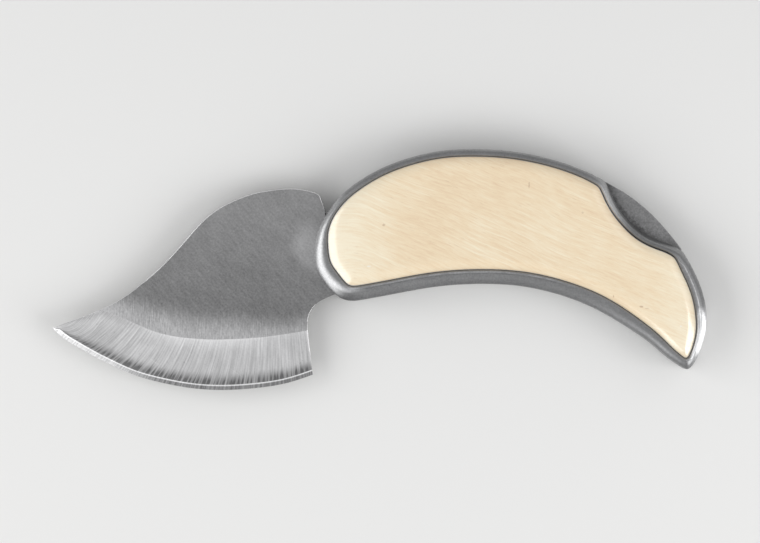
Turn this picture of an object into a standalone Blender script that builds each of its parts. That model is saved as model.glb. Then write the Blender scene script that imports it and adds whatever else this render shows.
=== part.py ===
"""Folding ulu knife with a back lock, drawn with its blade open.

The knife lies flat. X runs along the handle towards its butt, Y across it towards the back, and Z
through its thickness. The origin is on the axis that the blade turns about, on the flat face of the
rear inlay, which the knife rests on. Lengths are in metres and angles in degrees.
"""
import math

import bmesh
import bpy
import numpy as np

# Handle outline, and how finely outlines are drawn and then faceted
handle_length = 0.1015
handle_height = 0.0573
corner_softness = 0.0009
drawing_step = 0.0003
facet_length = 0.0055
facet_turn = 7.0
bevel_facet_turn = 2.4
sharp_angle = 30.0

# Blade: it folds into the handle, so its reach and height follow the handle's
tip_to_butt = 0.00986
fold_cover = 0.0048
blade_thickness = 0.0025
tip_thickness = 0.0004
shoulder_thickness = 0.00084
edge_thickness = 0.00014
micro_bevel = 0.0013
grind_rows = 4
fold_angle = 157.0

# Frames, one on each side of the blade
frame_thickness = 0.0045
pocket_floor = 0.0015
rim_nose = 0.0031
rim_back = 0.00178
rim_scoop = 0.0024
rim_butt = 0.0030
rim_belly = 0.0037
rim_blend = 0.0075
rim_round = 0.0018
rim_drop = 0.0016
round_steps = 4

# Inlays
groove = 0.00025
inlay_proud = 0.00055
crown_width = 0.0028
crown_drop = 0.0013
inlay_seat_gap = 0.0001

# Running gaps
slide_gap = 0.00005
pin_gap = 0.00006
edge_gap = 0.0001

# Pins and washers
pivot_radius = 0.0020
pivot_head_lip = 0.0011
rocker_pin_radius = 0.0012
butt_pin_radius = 0.0011
small_head_lip = 0.0007
head_depth = 0.0006
head_margin = 0.0001
washer_radius = 0.0064
washer_thickness = 0.0002
round_sides = 28

# Tang, from the washers outward: notch floor, cam, kick, and the hollow of the bar over them
notch_wall = 0.0006
notch_depth = 0.0016
kick_rise = 0.0010
kick_clearance = 0.0020
kick_ease_angle = 8.0

# Lock bar: how deep it is below the back, and the tooth that drops in the tang
bar_tail_depth = 0.0054
bar_press_depth = 0.0073
bar_rear_depth = 0.0064
bar_waist_depth = 0.0045
bar_neck_depth = 0.0056
bar_blend = 0.0060
bar_edge_round = 0.0003
rocker_depth = 0.00393
rocker_boss_radius = 0.0031
tooth_width = 0.0038
tooth_side_gap = 0.00012
lift_gap = 0.00025
lock_face_gap = 0.0004
lock_drop_angle = 2.2
relief_angle = 24.0

# Spring and butt spacer
spring_thickness = 0.0011
spring_tip_gap = 0.0001
spring_tail_gap = 0.0027
spring_side_gap = 0.0001
spring_root_depth = 0.0027
blade_tip_gap = 0.0008

# Shares of the handle's length and height, measured from the pivot axis
nose_shares = ((-0.062, -0.152), (-0.072, -0.115), (-0.084, -0.082), (-0.105, -0.009), (-0.1127, 0.068),
               (-0.105, 0.150), (-0.085, 0.227), (-0.051, 0.298))
back_shares = ((-0.051, 0.298), (-0.010, 0.358), (0.051, 0.422), (0.133, 0.476), (0.215, 0.506),
               (0.2975, 0.512), (0.379, 0.504), (0.461, 0.479), (0.543, 0.436), (0.627, 0.369),
               (0.707, 0.283), (0.748, 0.220), (0.789, 0.143), (0.8275, 0.055))
scoop_shares = ((0.627, 0.369), (0.641, 0.322), (0.661, 0.255), (0.687, 0.195), (0.722, 0.137),
                (0.769, 0.096), (0.805, 0.072), (0.8270, 0.049))
butt_shares = ((0.8270, 0.049), (0.850, -0.024), (0.871, -0.105), (0.8873, -0.227), (0.884, -0.330),
               (0.871, -0.403), (0.852, -0.468), (0.840, -0.490))
belly_shares = ((0.836, -0.4905), (0.789, -0.434), (0.748, -0.372), (0.707, -0.320), (0.666, -0.274),
                (0.584, -0.196), (0.502, -0.144), (0.420, -0.112), (0.338, -0.1005), (0.256, -0.103),
                (0.174, -0.118), (0.093, -0.144), (0.010, -0.171), (-0.021, -0.177), (-0.041, -0.171),
                (-0.062, -0.152))

# Shares of the blade's reach and height, measured from the pivot axis
spine_shares = ((-1.0, -0.328), (-0.940, -0.293), (-0.863, -0.250), (-0.811, -0.213), (-0.758, -0.165),
                (-0.707, -0.105), (-0.655, -0.035), (-0.603, 0.047), (-0.551, 0.138), (-0.499, 0.221),
                (-0.448, 0.276), (-0.395, 0.314), (-0.344, 0.341), (-0.292, 0.356), (-0.240, 0.364),
                (-0.188, 0.360), (-0.145, 0.344))
shoulder_shares = ((-0.131, 0.332), (-0.1102, 0.2427))
edge_shares = ((-1.0, -0.328), (-0.966, -0.375), (-0.914, -0.425), (-0.863, -0.469), (-0.811, -0.509),
               (-0.733, -0.562), (-0.655, -0.596), (-0.551, -0.626), (-0.448, -0.636), (-0.344, -0.627),
               (-0.240, -0.602), (-0.154, -0.560))
grind_shares = ((-0.843, -0.2355), (-0.777, -0.274), (-0.727, -0.307), (-0.666, -0.345), (-0.603, -0.368),
                (-0.541, -0.379), (-0.479, -0.384), (-0.418, -0.382), (-0.355, -0.377), (-0.293, -0.368),
                (-0.231, -0.354), (-0.170, -0.339))
choil_shares = ((-0.170, -0.339), (-0.169, -0.278), (-0.161, -0.243), (-0.136, -0.200), (-0.110, -0.178),
                (-0.083, -0.161))

# Shares of a run: the rocker pin along the handle's length, the bar's depths from its tail to its nose,
# the spring under the bar from the bar's tail, and places down the butt from the scoop to its tip
rocker_share = 0.3354
bar_depth_shares = (0.0, 0.10, 0.22, 0.45, 0.62, 0.80, 0.91)
spring_run_shares = (0.06, 0.37)
spring_bend_share = 0.6
spacer_top_share = 0.195
spring_root_share = 0.32
butt_pin_shares = (0.42, 0.79)

# Shares of other things: of the belly on which its rim widens, of a piece's own width that its rounding
# may take, and the power of the hollow grind
rim_ease_share = 0.25
fillet_share = 0.5
crown_share = 0.667
hollow_power_share = 1.35
spring_points = 5

blade_reach = handle_length * max(x for x, _ in butt_shares) - tip_to_butt
blade_height = handle_height - fold_cover
half_slot = blade_thickness / 2 + washer_thickness + 2 * slide_gap
half_bar = half_slot - slide_gap
frame_top = half_slot + frame_thickness
floor_top = half_slot + pocket_floor
half_knife = frame_top + inlay_proud
notch_radius = washer_radius + notch_wall
cam_radius = notch_radius + notch_depth
kick_radius = cam_radius + kick_rise
relief_radius = kick_radius + kick_clearance
tooth_tip_radius = cam_radius + lift_gap


def clear_scene():
    for item in list(bpy.data.objects):
        bpy.data.objects.remove(item, do_unlink=True)


def unit(vector):
    return vector / np.linalg.norm(vector)


def unit_rows(vectors):
    return vectors / np.linalg.norm(vectors, axis=1)[:, None]


def left_of(direction):
    return np.stack((-direction[..., 1], direction[..., 0]), axis=-1)


def turned_by(points, centre, degrees):
    angle = math.radians(degrees)
    matrix = np.array(((math.cos(angle), math.sin(angle)), (-math.sin(angle), math.cos(angle))))
    return (np.array(points) - centre) @ matrix + centre


def polar(radius, degrees):
    return radius * np.array((math.cos(math.radians(degrees)), math.sin(math.radians(degrees))))


def angle_of(point):
    return math.degrees(math.atan2(point[1], point[0]))


def meets_circle(point, direction, radius):
    """First place ahead where a line from the point meets a circle round the pivot axis."""
    along = point @ direction
    root = math.sqrt(along ** 2 - point @ point + radius ** 2)
    return point + direction * min(step for step in (-along - root, -along + root) if step > 0)


def run_of(line):
    """Length run along a line at each of its points."""
    return np.concatenate(([0], np.cumsum(np.linalg.norm(np.diff(line, axis=0), axis=1))))


def at_runs(line, places):
    """Points at the given lengths along a line."""
    run = run_of(line)
    return np.stack([np.interp(places, run, line[:, k]) for k in (0, 1)], axis=1)


def placed(shares, length, height):
    return np.array(shares) * (length, height)


def curve_through(points):
    """Natural cubic curve through the points, as a fine line of points."""
    spans = np.linalg.norm(np.diff(points, axis=0), axis=1)
    count = len(points)
    matrix = np.eye(count)
    right = np.zeros((count, 2))
    for i in range(1, count - 1):
        matrix[i, i - 1:i + 2] = spans[i - 1], 2 * (spans[i - 1] + spans[i]), spans[i]
        ahead = (points[i + 1] - points[i]) / spans[i]
        behind = (points[i] - points[i - 1]) / spans[i - 1]
        right[i] = 6 * (ahead - behind)
    bend = np.linalg.solve(matrix, right)
    line = [points[0]]
    for i, span in enumerate(spans):
        steps = max(2, round(span / drawing_step))
        for s in (np.arange(steps) + 1) / steps:
            left = 1 - s
            curl = (left ** 3 - left) * bend[i] + (s ** 3 - s) * bend[i + 1]
            line.append(left * points[i] + s * points[i + 1] + curl * span ** 2 / 6)
    return np.array(line)


def arc(radius, start, end):
    """Arc round the pivot axis."""
    steps = max(2, round(abs(math.radians(end - start)) * radius / drawing_step))
    return np.array([polar(radius, angle) for angle in np.linspace(start, end, steps)])


def apart(line):
    """The line without points that almost coincide with the one before."""
    kept = [line[0]]
    for point in line[1:]:
        if np.linalg.norm(point - kept[-1]) > drawing_step / 4:
            kept.append(point)
    return np.array(kept)


def joined(*lines):
    """One closed loop from lines laid end to end."""
    loop = apart(np.concatenate(lines))
    return loop[:-1] if np.linalg.norm(loop[0] - loop[-1]) < drawing_step / 4 else loop


def softened(loop, reach):
    """Closed loop with its corners rounded off: each point is the middle of the line within the reach."""
    closed = np.vstack((loop, loop[:1]))
    length = run_of(closed)[-1]
    loop = at_runs(closed, np.linspace(0, length, round(length / drawing_step), endpoint=False))
    width = round(reach / drawing_step)
    return sum(np.roll(loop, k, axis=0) for k in range(-width, width + 1)) / (2 * width + 1)


def softened_line(line):
    """Open line with its corners rounded off and its ends kept."""
    length = run_of(line)[-1]
    line = at_runs(line, np.linspace(0, length, round(length / drawing_step)))
    width = round(corner_softness / drawing_step)
    soft = line.copy()
    for i in range(width, len(line) - width):
        soft[i] = line[i - width:i + width + 1].mean(axis=0)
    return soft


def anticlockwise(loop):
    ahead = np.roll(loop, -1, axis=0)
    area = (loop[:, 0] * ahead[:, 1] - loop[:, 1] * ahead[:, 0]).sum()
    return loop if area > 0 else loop[::-1]


def faceted(line, turn=facet_turn):
    """Points of a fine line that are kept: one for each turn of the line, or each long straight run."""
    steps = np.diff(line, axis=0)
    headings = np.unwrap(np.arctan2(steps[:, 1], steps[:, 0]))
    kept = [0]
    for i in range(1, len(line) - 1):
        bent = abs(headings[i] - headings[kept[-1]]) > math.radians(turn)
        if bent or np.linalg.norm(line[i] - line[kept[-1]]) > facet_length:
            kept.append(i)
    return line[kept + [len(line) - 1]]


def faceted_loop(loop):
    loop = anticlockwise(loop)
    return faceted(np.vstack((loop, loop[:1])))[:-1]


def inward(loop):
    """Normals into an anticlockwise loop, longer at a corner so that an inset keeps its width."""
    before = unit_rows(loop - np.roll(loop, 1, axis=0))
    after = np.roll(before, -1, axis=0)
    middle = unit_rows(left_of(before) + left_of(after))
    return middle / np.maximum((middle * left_of(before)).sum(axis=1), 1 / 2)[:, None]


def room_inside(loop):
    """Radius of the largest circle that fits inside the loop at each of its points."""
    normals = unit_rows(inward(loop))
    gaps = loop[None] - loop[:, None]
    depth = (gaps * normals[:, None]).sum(axis=2)
    square = (gaps ** 2).sum(axis=2)
    near = depth > square / (2 * handle_length)
    return np.where(near, square / (2 * np.where(near, depth, handle_length)), handle_length).min(axis=1)


def inset(loop, widths):
    """Loop moved inward by its widths, without the points that come nearer to another stretch."""
    moved = loop + inward(loop) * widths[:, None]
    gaps = np.linalg.norm(moved[:, None] - loop[None], axis=2)
    return moved[gaps.min(axis=1) > widths - drawing_step / 2]


def new_material(name, colour, roughness, metallic):
    material = bpy.data.materials.new(name)
    material.use_nodes = True
    shader = material.node_tree.nodes["Principled BSDF"]
    shader.inputs["Base Color"].default_value = (*colour, 1)
    shader.inputs["Roughness"].default_value = roughness
    shader.inputs["Metallic"].default_value = metallic
    material.diffuse_color = (*colour, 1)
    return material


def new_object(name, solid, material):
    bmesh.ops.recalc_face_normals(solid, faces=solid.faces)
    mesh = bpy.data.meshes.new(name)
    solid.to_mesh(mesh)
    solid.free()
    mesh.shade_smooth()
    mesh.set_sharp_from_angle(angle=math.radians(sharp_angle))
    item = bpy.data.objects.new(name, mesh)
    bpy.context.scene.collection.objects.link(item)
    item.data.materials.append(material)
    return item


def stacked(name, levels, material, side=1):
    """Closed solid from loops of equal length, each with its height off the knife's middle plane."""
    solid = bmesh.new()
    rings = [[solid.verts.new((x, y, half_knife + side * z)) for x, y in loop] for loop, z in levels]
    solid.faces.new(rings[0])
    solid.faces.new(rings[-1])
    for lower, upper in zip(rings, rings[1:]):
        for i in range(len(lower)):
            solid.faces.new((lower[i - 1], lower[i], upper[i], upper[i - 1]))
    return new_object(name, solid, material)


def eased_levels(loop, bottom, top, width, drop, share):
    """Levels of a solid whose upper edge is rounded over a width and a drop, less where room is short."""
    room = np.minimum(width, room_inside(loop) * share)[:, None]
    levels = [(loop, bottom)]
    for step in range(round_steps + 1):
        angle = math.pi / 2 * step / round_steps
        eased = loop + inward(loop) * room * (1 - math.cos(angle))
        levels.append((eased, top - drop * (1 - math.sin(angle))))
    return levels


def plate(name, loop, half_thickness, material, edge_round=0):
    """Flat plate about the knife's middle plane, with its edges eased on both faces."""
    levels = [(loop, half_thickness - edge_round)]
    if edge_round:
        width = np.minimum(edge_round, room_inside(loop) * fillet_share)[:, None]
        levels.append((loop + inward(loop) * width, half_thickness))
    return stacked(name, [(line, -z) for line, z in levels[::-1]] + levels, material)


def lathed(name, profile, place, material):
    """Round solid about an upright axis, from radii and heights that run up its side."""
    solid = bmesh.new()
    verts = [solid.verts.new((radius, 0, half_knife + z)) for radius, z in profile]
    edges = [solid.edges.new(pair) for pair in zip(verts, verts[1:])]
    bmesh.ops.spin(solid, geom=verts + edges, cent=(0, 0, 0), axis=(0, 0, 1),
                   angle=math.tau, steps=round_sides, use_merge=True)
    bmesh.ops.remove_doubles(solid, verts=solid.verts, dist=drawing_step / 100)
    item = new_object(name, solid, material)
    item.location = (place[0], place[1], 0)
    return item


def drum(name, radius, place, material):
    """Plain round cutter that reaches right through the knife."""
    profile = ((0, -half_knife), (radius, -half_knife), (radius, half_knife), (0, half_knife))
    return lathed(name, profile, place, material)


def pin_profile(radius, head_radius, gap):
    """Side of a pin whose countersunk heads end level with the floors of both pockets."""
    lower = ((0, -floor_top - gap), (head_radius + gap, -floor_top - gap), (head_radius + gap, -floor_top),
             (radius + gap, head_depth - floor_top))
    return lower + tuple((r, -z) for r, z in lower[::-1])


def cut_with(item, cutter):
    cutter.hide_render = True
    cutter.display_type = "WIRE"
    cut = item.modifiers.new(cutter.name, "BOOLEAN")
    cut.operation = "DIFFERENCE"
    cut.solver = "EXACT"
    cut.object = cutter


def nearest(line, point):
    return int(np.linalg.norm(line - point, axis=1).argmin())


# The handle's outline. The bar's back edge carries the back on across the scoop.
nose_line = curve_through(placed(nose_shares + back_shares[1:], handle_length, handle_height))
scoop_line = curve_through(placed(scoop_shares, handle_length, handle_height))
butt_line = curve_through(placed(butt_shares, handle_length, handle_height))
belly_line = curve_through(placed(belly_shares, handle_length, handle_height))
brow = nearest(nose_line, placed(back_shares[0], handle_length, handle_height))
scoop = nearest(nose_line, scoop_line[0])
handle_loop = anticlockwise(softened(joined(nose_line[:scoop + 1], scoop_line, butt_line, belly_line),
                                     corner_softness))


def rim_widths(loop):
    """Width of the steel rim at each point of the handle's outline, blended from stretch to stretch."""
    stretches = ((nose_line[:brow], rim_nose), (nose_line[brow:scoop], rim_back), (scoop_line, rim_scoop),
                 (butt_line, rim_butt))
    ease = np.minimum(np.linspace(0, 1 / rim_ease_share, len(belly_line)), 1)
    marks = np.concatenate([line for line, _ in stretches] + [belly_line])
    widths = np.concatenate([np.full(len(line), width) for line, width in stretches]
                            + [rim_butt + (rim_belly - rim_butt) * ease])
    rough = np.array([widths[nearest(marks, point)] for point in loop])
    reach = round(rim_blend / drawing_step)
    return sum(np.roll(rough, k) for k in range(-reach, reach + 1)) / (2 * reach + 1)


inlay_loop = softened(inset(handle_loop, rim_widths(handle_loop)), corner_softness)


def butt_place(share, depth):
    """Place inside the butt: a share of the way down its rim, and a depth in from it."""
    index = round(share * (len(butt_line) - 1))
    along = unit(butt_line[index + 1] - butt_line[index - 1])
    return butt_line[index] - left_of(along) * depth


def back_place(share, depth):
    """Place under the handle's back: a share of the handle's length along it, and a depth in from it."""
    index = brow + int(np.abs(nose_line[brow:, 0] - share * handle_length).argmin())
    along = unit(nose_line[index + 1] - nose_line[index - 1])
    return nose_line[index] - left_of(along) * depth


pivot = np.zeros(2)
rocker = back_place(rocker_share, rocker_depth)
butt_pin_depth = rim_butt + groove + butt_pin_radius + small_head_lip + head_margin
upper_pin, lower_pin = [butt_place(share, butt_pin_depth) for share in butt_pin_shares]


def make_pins(material):
    """Pins peened into countersinks in the pocket floors, under the inlays. Their list serves the holes."""
    pins = (("pivot_pin", pivot_radius, pivot_head_lip, pivot),
            ("rocker_pin", rocker_pin_radius, small_head_lip, rocker),
            ("butt_upper_pin", butt_pin_radius, small_head_lip, upper_pin),
            ("butt_lower_pin", butt_pin_radius, small_head_lip, lower_pin))
    for name, radius, lip, place in pins:
        lathed(name, pin_profile(radius, radius + lip, 0), place, material)
    return pins


def make_frame(name, side, material, pins):
    """Steel half of the handle: rounded rim, and a pocket for its inlay in the outer face."""
    outline = faceted_loop(handle_loop)
    levels = eased_levels(outline, half_slot, frame_top, rim_round, rim_drop, fillet_share)
    frame = stacked(name, levels, material, side)
    pocket = faceted_loop(inlay_loop)
    pocket = pocket - inward(pocket) * groove
    levels = [(pocket, floor_top), (pocket, frame_top + rim_drop)]
    cut_with(frame, stacked(name + "_pocket", levels, material, side))
    for pin, radius, lip, place in pins:
        profile = pin_profile(radius, radius + lip, pin_gap)
        cut_with(frame, lathed(name + "_" + pin + "_hole", profile, place, material))


def make_inlay(name, side, material):
    """Wooden scale that fills the pocket and stands a little proud, with a crowned edge."""
    levels = eased_levels(faceted_loop(inlay_loop), floor_top + inlay_seat_gap, half_knife,
                          crown_width, crown_drop, crown_share)
    stacked(name, levels, material, side)


def make_washer(name, side, material):
    """Thin bronze washer between the tang and a frame."""
    low, high = sorted((side * (blade_thickness / 2 + slide_gap), side * (half_slot - slide_gap)))
    hole = pivot_radius + 2 * pin_gap
    profile = ((hole, low), (washer_radius, low), (washer_radius, high), (hole, high), (hole, low))
    lathed(name, profile, pivot, material)


# Lock geometry at rest: the bar's tooth is lifted just clear of the tang, behind the blade's shoulder
shoulder_top, shoulder_low = placed(shoulder_shares, blade_reach, blade_height)
shoulder_down = unit(shoulder_low - shoulder_top)
face_point = shoulder_low + left_of(shoulder_down) * lock_face_gap
tooth_front = meets_circle(face_point, shoulder_down, tooth_tip_radius)
tooth_rear = polar(tooth_tip_radius, angle_of(tooth_front) - math.degrees(tooth_width / tooth_tip_radius))
tooth_up = -left_of(unit(tooth_rear - rocker))


def notch(rear_radius, front_wall=None):
    """Notch of the tang round the dropped tooth, from its front wall over its floor to its rear wall."""
    front, rear = turned_by((tooth_front, tooth_rear), rocker, lock_drop_angle)
    rear_up = turned_by(tooth_up, pivot, lock_drop_angle)
    front_up = turned_by(-shoulder_down, pivot, lock_drop_angle)
    rear_wall = rear - left_of(rear_up) * tooth_side_gap + rear_up * tooth_width
    rear_base = meets_circle(rear_wall, -rear_up, notch_radius)
    rear_top = meets_circle(rear_base, rear_up, rear_radius)
    if front_wall is None:
        front_top = meets_circle(front + left_of(front_up) * lock_face_gap, front_up, cam_radius)
        front_wall = front_top, meets_circle(front_top, -front_up, notch_radius)
    floor = arc(notch_radius, angle_of(front_wall[1]), angle_of(rear_base))
    return [front_wall[0][None], faceted(floor), rear_top[None]]


def tang_line():
    """Rear end of the blade, from the choil: kick, closed notch, cam, and open notch up to the shoulder."""
    shoulder_base = meets_circle(shoulder_low, shoulder_down, notch_radius)
    open_notch = [part[::-1] for part in notch(cam_radius, (shoulder_low, shoulder_base))[::-1]]
    closed_notch = [turned_by(part[::-1], pivot, -fold_angle) for part in notch(kick_radius)[::-1]]
    choil = curve_through(placed(choil_shares, blade_reach, blade_height))
    kick = arc(kick_radius, angle_of(choil[-1]) + kick_ease_angle, angle_of(closed_notch[0][0]))
    cam = arc(cam_radius, angle_of(closed_notch[-1][-1]), angle_of(open_notch[0][0]))
    return np.vstack((faceted(choil)[1:], faceted(kick)[:-1], *closed_notch, faceted(cam)[1:-1],
                      *open_notch[:-1]))


def bevel_lines():
    """Matching points along the top of the bevel and along the edge, and where the flat spine begins."""
    spine = curve_through(placed(spine_shares, blade_reach, blade_height))
    grind = curve_through(placed(grind_shares, blade_reach, blade_height))
    edge = curve_through(placed(edge_shares, blade_reach, blade_height))
    start = nearest(spine, grind[0])
    swedge = faceted(spine[:start + 1])
    lands = np.vstack((swedge[:-1], faceted(grind, bevel_facet_turn)))
    runs = run_of(lands)
    edges = at_runs(edge, runs / runs[-1] * run_of(edge)[-1])
    spine_rest = faceted(softened_line(np.vstack((spine[start:], shoulder_top, shoulder_low))))
    return lands, edges, len(swedge) - 1, spine_rest


def bevel_section(land, edge, land_half):
    """Places and half thicknesses across the bevel: hollow grind, then the thin second bevel."""
    width = np.linalg.norm(edge - land)
    hollow = 1 - min(micro_bevel, width / 2) / width
    shoulder_half = min(shoulder_thickness / 2, land_half)
    steps = np.arange(grind_rows + 1) / grind_rows
    halves = shoulder_half + (land_half - shoulder_half) * (1 - steps) ** hollow_power_share
    rows = np.append(steps * hollow, 1)
    return land + (edge - land) * rows[:, None], np.append(halves, edge_thickness / 2)


def skin_strip(solid, near, far):
    """Faces between two columns of the bevel. The first column is the blade's point."""
    for row in range(len(far) - 1):
        near_pair = [near[0]] if len(near) == 1 else [near[row + 1], near[row]]
        solid.faces.new([far[row], far[row + 1]] + near_pair)


def make_blade(material):
    """Plate with a hollow grind down to a fine second bevel, and a tang with both lock notches."""
    solid = bmesh.new()
    lands, edges, flat_from, spine_rest = bevel_lines()
    half = blade_thickness / 2
    columns = [([edges[0]], [edge_thickness / 2])]
    for k in range(1, len(lands)):
        land_half = tip_thickness / 2 + (half - tip_thickness / 2) * min(k / flat_from, 1)
        columns.append(bevel_section(lands[k], edges[k], land_half))
    sides = [[[solid.verts.new((*place, half_knife + side * z)) for place, z in zip(*column)]
              for column in columns] for side in (1, -1)]
    for front in sides:
        for near, far in zip(front, front[1:]):
            skin_strip(solid, near, far)
    for k, (one, two) in enumerate(zip(*sides)):
        if k:
            before_one, before_two = sides[0][k - 1], sides[1][k - 1]
            solid.faces.new((before_one[-1], one[-1], two[-1], before_two[-1]))
            if k <= flat_from:
                solid.faces.new((before_one[0], one[0], two[0], before_two[0]))
    solid.faces.new(sides[0][-1] + sides[1][-1][::-1])
    outline = apart(np.vstack((tang_line(), spine_rest[::-1][:-1])))
    chains = []
    for front, side in zip(sides, (1, -1)):
        free = [solid.verts.new((*place, half_knife + side * half)) for place in outline]
        chains.append([front[-1][0]] + free + [front[flat_from][0]])
        solid.faces.new(chains[-1] + [column[0] for column in front[flat_from + 1:-1]])
    for i in range(len(outline) + 1):
        solid.faces.new((chains[0][i], chains[0][i + 1], chains[1][i + 1], chains[1][i]))
    blade = new_object("blade", solid, material)
    cut_with(blade, drum("blade_pivot_hole", pivot_radius + 2 * pin_gap, pivot, material))


def bar_edges():
    """Back edge of the bar from its nose to its tail, and its under edge from the tail to the neck."""
    past_face = (nose_line - face_point) @ left_of(shoulder_down) > 0
    above_face = nose_line[:, 1] > face_point[1] - lock_face_gap
    start = int(np.argmax(past_face & above_face))
    down = -left_of(unit_rows(np.gradient(nose_line, axis=0)))[start:]
    back = nose_line[start:] + down * edge_gap
    count = round(len(back) * bar_depth_shares[-1])
    depths = (bar_tail_depth, bar_press_depth, bar_press_depth, bar_rear_depth, bar_waist_depth,
              bar_waist_depth, bar_neck_depth)
    depths = np.interp(np.arange(count) / len(back), bar_depth_shares, depths)
    width = round(bar_blend / drawing_step)
    blend = np.ones(2 * width + 1) / (2 * width + 1)
    depths = np.convolve(np.pad(depths, width, mode="edge"), blend, mode="valid")
    return back, back[::-1][:count] + down[::-1][:count] * depths[:, None]


def make_lock_bar(material):
    """Rocking bar along the back: its front tooth drops in the tang, its tail is pressed in the scoop."""
    back, under = bar_edges()
    arms = under - rocker
    inside = np.linalg.norm(arms, axis=1) < rocker_boss_radius
    under[inside] = rocker + unit_rows(arms[inside]) * rocker_boss_radius
    relief_end = meets_circle(tooth_rear, tooth_up, relief_radius)
    relief = arc(relief_radius, angle_of(relief_end) - relief_angle, angle_of(relief_end))
    tooth = arc(tooth_tip_radius, angle_of(tooth_rear), angle_of(tooth_front))
    outline = faceted_loop(softened(joined(back, under, relief, tooth), drawing_step))
    bar = plate("lock_bar", outline, half_bar, material, bar_edge_round)
    cut_with(bar, drum("lock_bar_pin_hole", rocker_pin_radius + 2 * pin_gap, rocker, material))


def spring_line():
    """Middle line of the leaf spring, from its free tip under the bar to its root in the spacer."""
    _, under = bar_edges()
    near, far = [round(len(under) * share) for share in spring_run_shares]
    under = under[near:far]
    down = left_of(unit_rows(np.gradient(under, axis=0)))
    gaps = spring_tip_gap + (spring_tail_gap - spring_tip_gap) * np.linspace(1, 0, len(under)) ** 2
    leaf = (under + down * (gaps + spring_thickness / 2)[:, None])[::-1]
    leaf = leaf[np.linspace(0, len(leaf) - 1, spring_points).astype(int)]
    root = butt_place(spring_root_share, spring_root_depth)
    bend = leaf[-1] + (root - leaf[-1]) * spring_bend_share
    return curve_through(np.vstack((leaf, bend, root)))


def strip_loop(line, half_width):
    aside = left_of(unit_rows(np.gradient(line, axis=0))) * half_width
    return anticlockwise(np.vstack((line + aside, (line - aside)[::-1])))


def make_spring(material):
    """Flat leaf spring that lifts the bar's tail."""
    leaf = strip_loop(faceted(spring_line()), spring_thickness / 2)
    plate("lock_spring", leaf, half_bar - slide_gap, material)


def make_spacer(material, pins):
    """Steel spacer that closes the butt between the frames, with a slot for the spring's root."""
    clear = np.linalg.norm(placed(spine_shares[0], blade_reach, blade_height)) + blade_tip_gap
    top = butt_line[round(spacer_top_share * len(butt_line))][1]
    rim = handle_loop + inward(handle_loop) * edge_gap
    kept = (np.linalg.norm(rim, axis=1) > clear) & (rim[:, 1] < top)
    first = int(np.argmin(kept))
    rim, kept = np.roll(rim, -first, axis=0), np.roll(kept, -first)
    sweep = arc(clear, angle_of(rim[kept][-1]), angle_of(rim[kept][0]))
    outline = faceted_loop(softened(joined(rim[kept], sweep[sweep[:, 1] < top]), drawing_step))
    spacer = plate("butt_spacer", outline, half_bar, material)
    line = faceted(spring_line())
    line[-1] += unit(line[-1] - line[-2]) * spring_side_gap
    slot = strip_loop(line, spring_thickness / 2 + spring_side_gap)
    cut_with(spacer, plate("spring_slot", slot, half_slot, material))
    for name, radius, _, place in pins:
        cut_with(spacer, drum(name + "_spacer_hole", radius + pin_gap, place, material))


def build():
    clear_scene()
    blade_steel = new_material("satin_blade_steel", (0.30, 0.30, 0.31), 0.32, 1.0)
    frame_steel = new_material("satin_frame_steel", (0.33, 0.33, 0.33), 0.35, 1.0)
    bar_steel = new_material("dark_bar_steel", (0.20, 0.20, 0.20), 0.40, 1.0)
    spring_steel = new_material("spring_steel", (0.26, 0.26, 0.27), 0.38, 1.0)
    pin_steel = new_material("pin_steel", (0.45, 0.45, 0.46), 0.30, 1.0)
    bronze = new_material("washer_bronze", (0.55, 0.36, 0.16), 0.35, 1.0)
    pale_wood = new_material("pale_birch", (0.82, 0.73, 0.57), 0.45, 0.0)
    pins = make_pins(pin_steel)
    for name, side in (("front", 1), ("rear", -1)):
        make_frame(name + "_frame", side, frame_steel, pins)
        make_inlay(name + "_inlay", side, pale_wood)
        make_washer(name + "_washer", side, bronze)
    make_blade(blade_steel)
    make_lock_bar(bar_steel)
    make_spring(spring_steel)
    make_spacer(frame_steel, pins[2:])


build()
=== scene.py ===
"""Folding ulu knife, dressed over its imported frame: satin steel blade and handle frames, pale wooden
inlays, and the rocking lock bar in its thumb scoop. Lengths are in metres and angles in degrees.
"""
import math

import bmesh
import bpy
import numpy as np
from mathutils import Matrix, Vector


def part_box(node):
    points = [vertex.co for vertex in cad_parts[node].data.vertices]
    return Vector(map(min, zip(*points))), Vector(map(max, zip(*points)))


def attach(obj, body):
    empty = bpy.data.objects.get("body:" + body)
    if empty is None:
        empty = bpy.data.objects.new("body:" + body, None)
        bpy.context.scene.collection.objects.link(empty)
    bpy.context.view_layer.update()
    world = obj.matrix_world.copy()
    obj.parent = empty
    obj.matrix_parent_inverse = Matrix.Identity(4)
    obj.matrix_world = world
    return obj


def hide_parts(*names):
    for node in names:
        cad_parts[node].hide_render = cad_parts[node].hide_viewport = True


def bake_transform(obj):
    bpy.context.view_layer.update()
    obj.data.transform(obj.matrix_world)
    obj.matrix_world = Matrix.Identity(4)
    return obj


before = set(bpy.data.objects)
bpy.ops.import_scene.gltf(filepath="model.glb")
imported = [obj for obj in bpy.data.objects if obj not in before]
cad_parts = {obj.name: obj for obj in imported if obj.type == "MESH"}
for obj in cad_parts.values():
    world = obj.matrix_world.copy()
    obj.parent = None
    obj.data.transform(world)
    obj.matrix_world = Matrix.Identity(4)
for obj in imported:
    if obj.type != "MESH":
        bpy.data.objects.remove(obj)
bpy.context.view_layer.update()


# Camera: a long lens straight above the knife, as the photograph was taken. The view is centred on the
# middle of the picture, which is 760 x 543 pixels at 0.26 mm a pixel.
pixel = 0.00026
picture_width = 760
picture_centre = (0.0052, -0.00247)
plane_height = 0.0105
lens_distance = 1.4
film_width = 36.0

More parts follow.
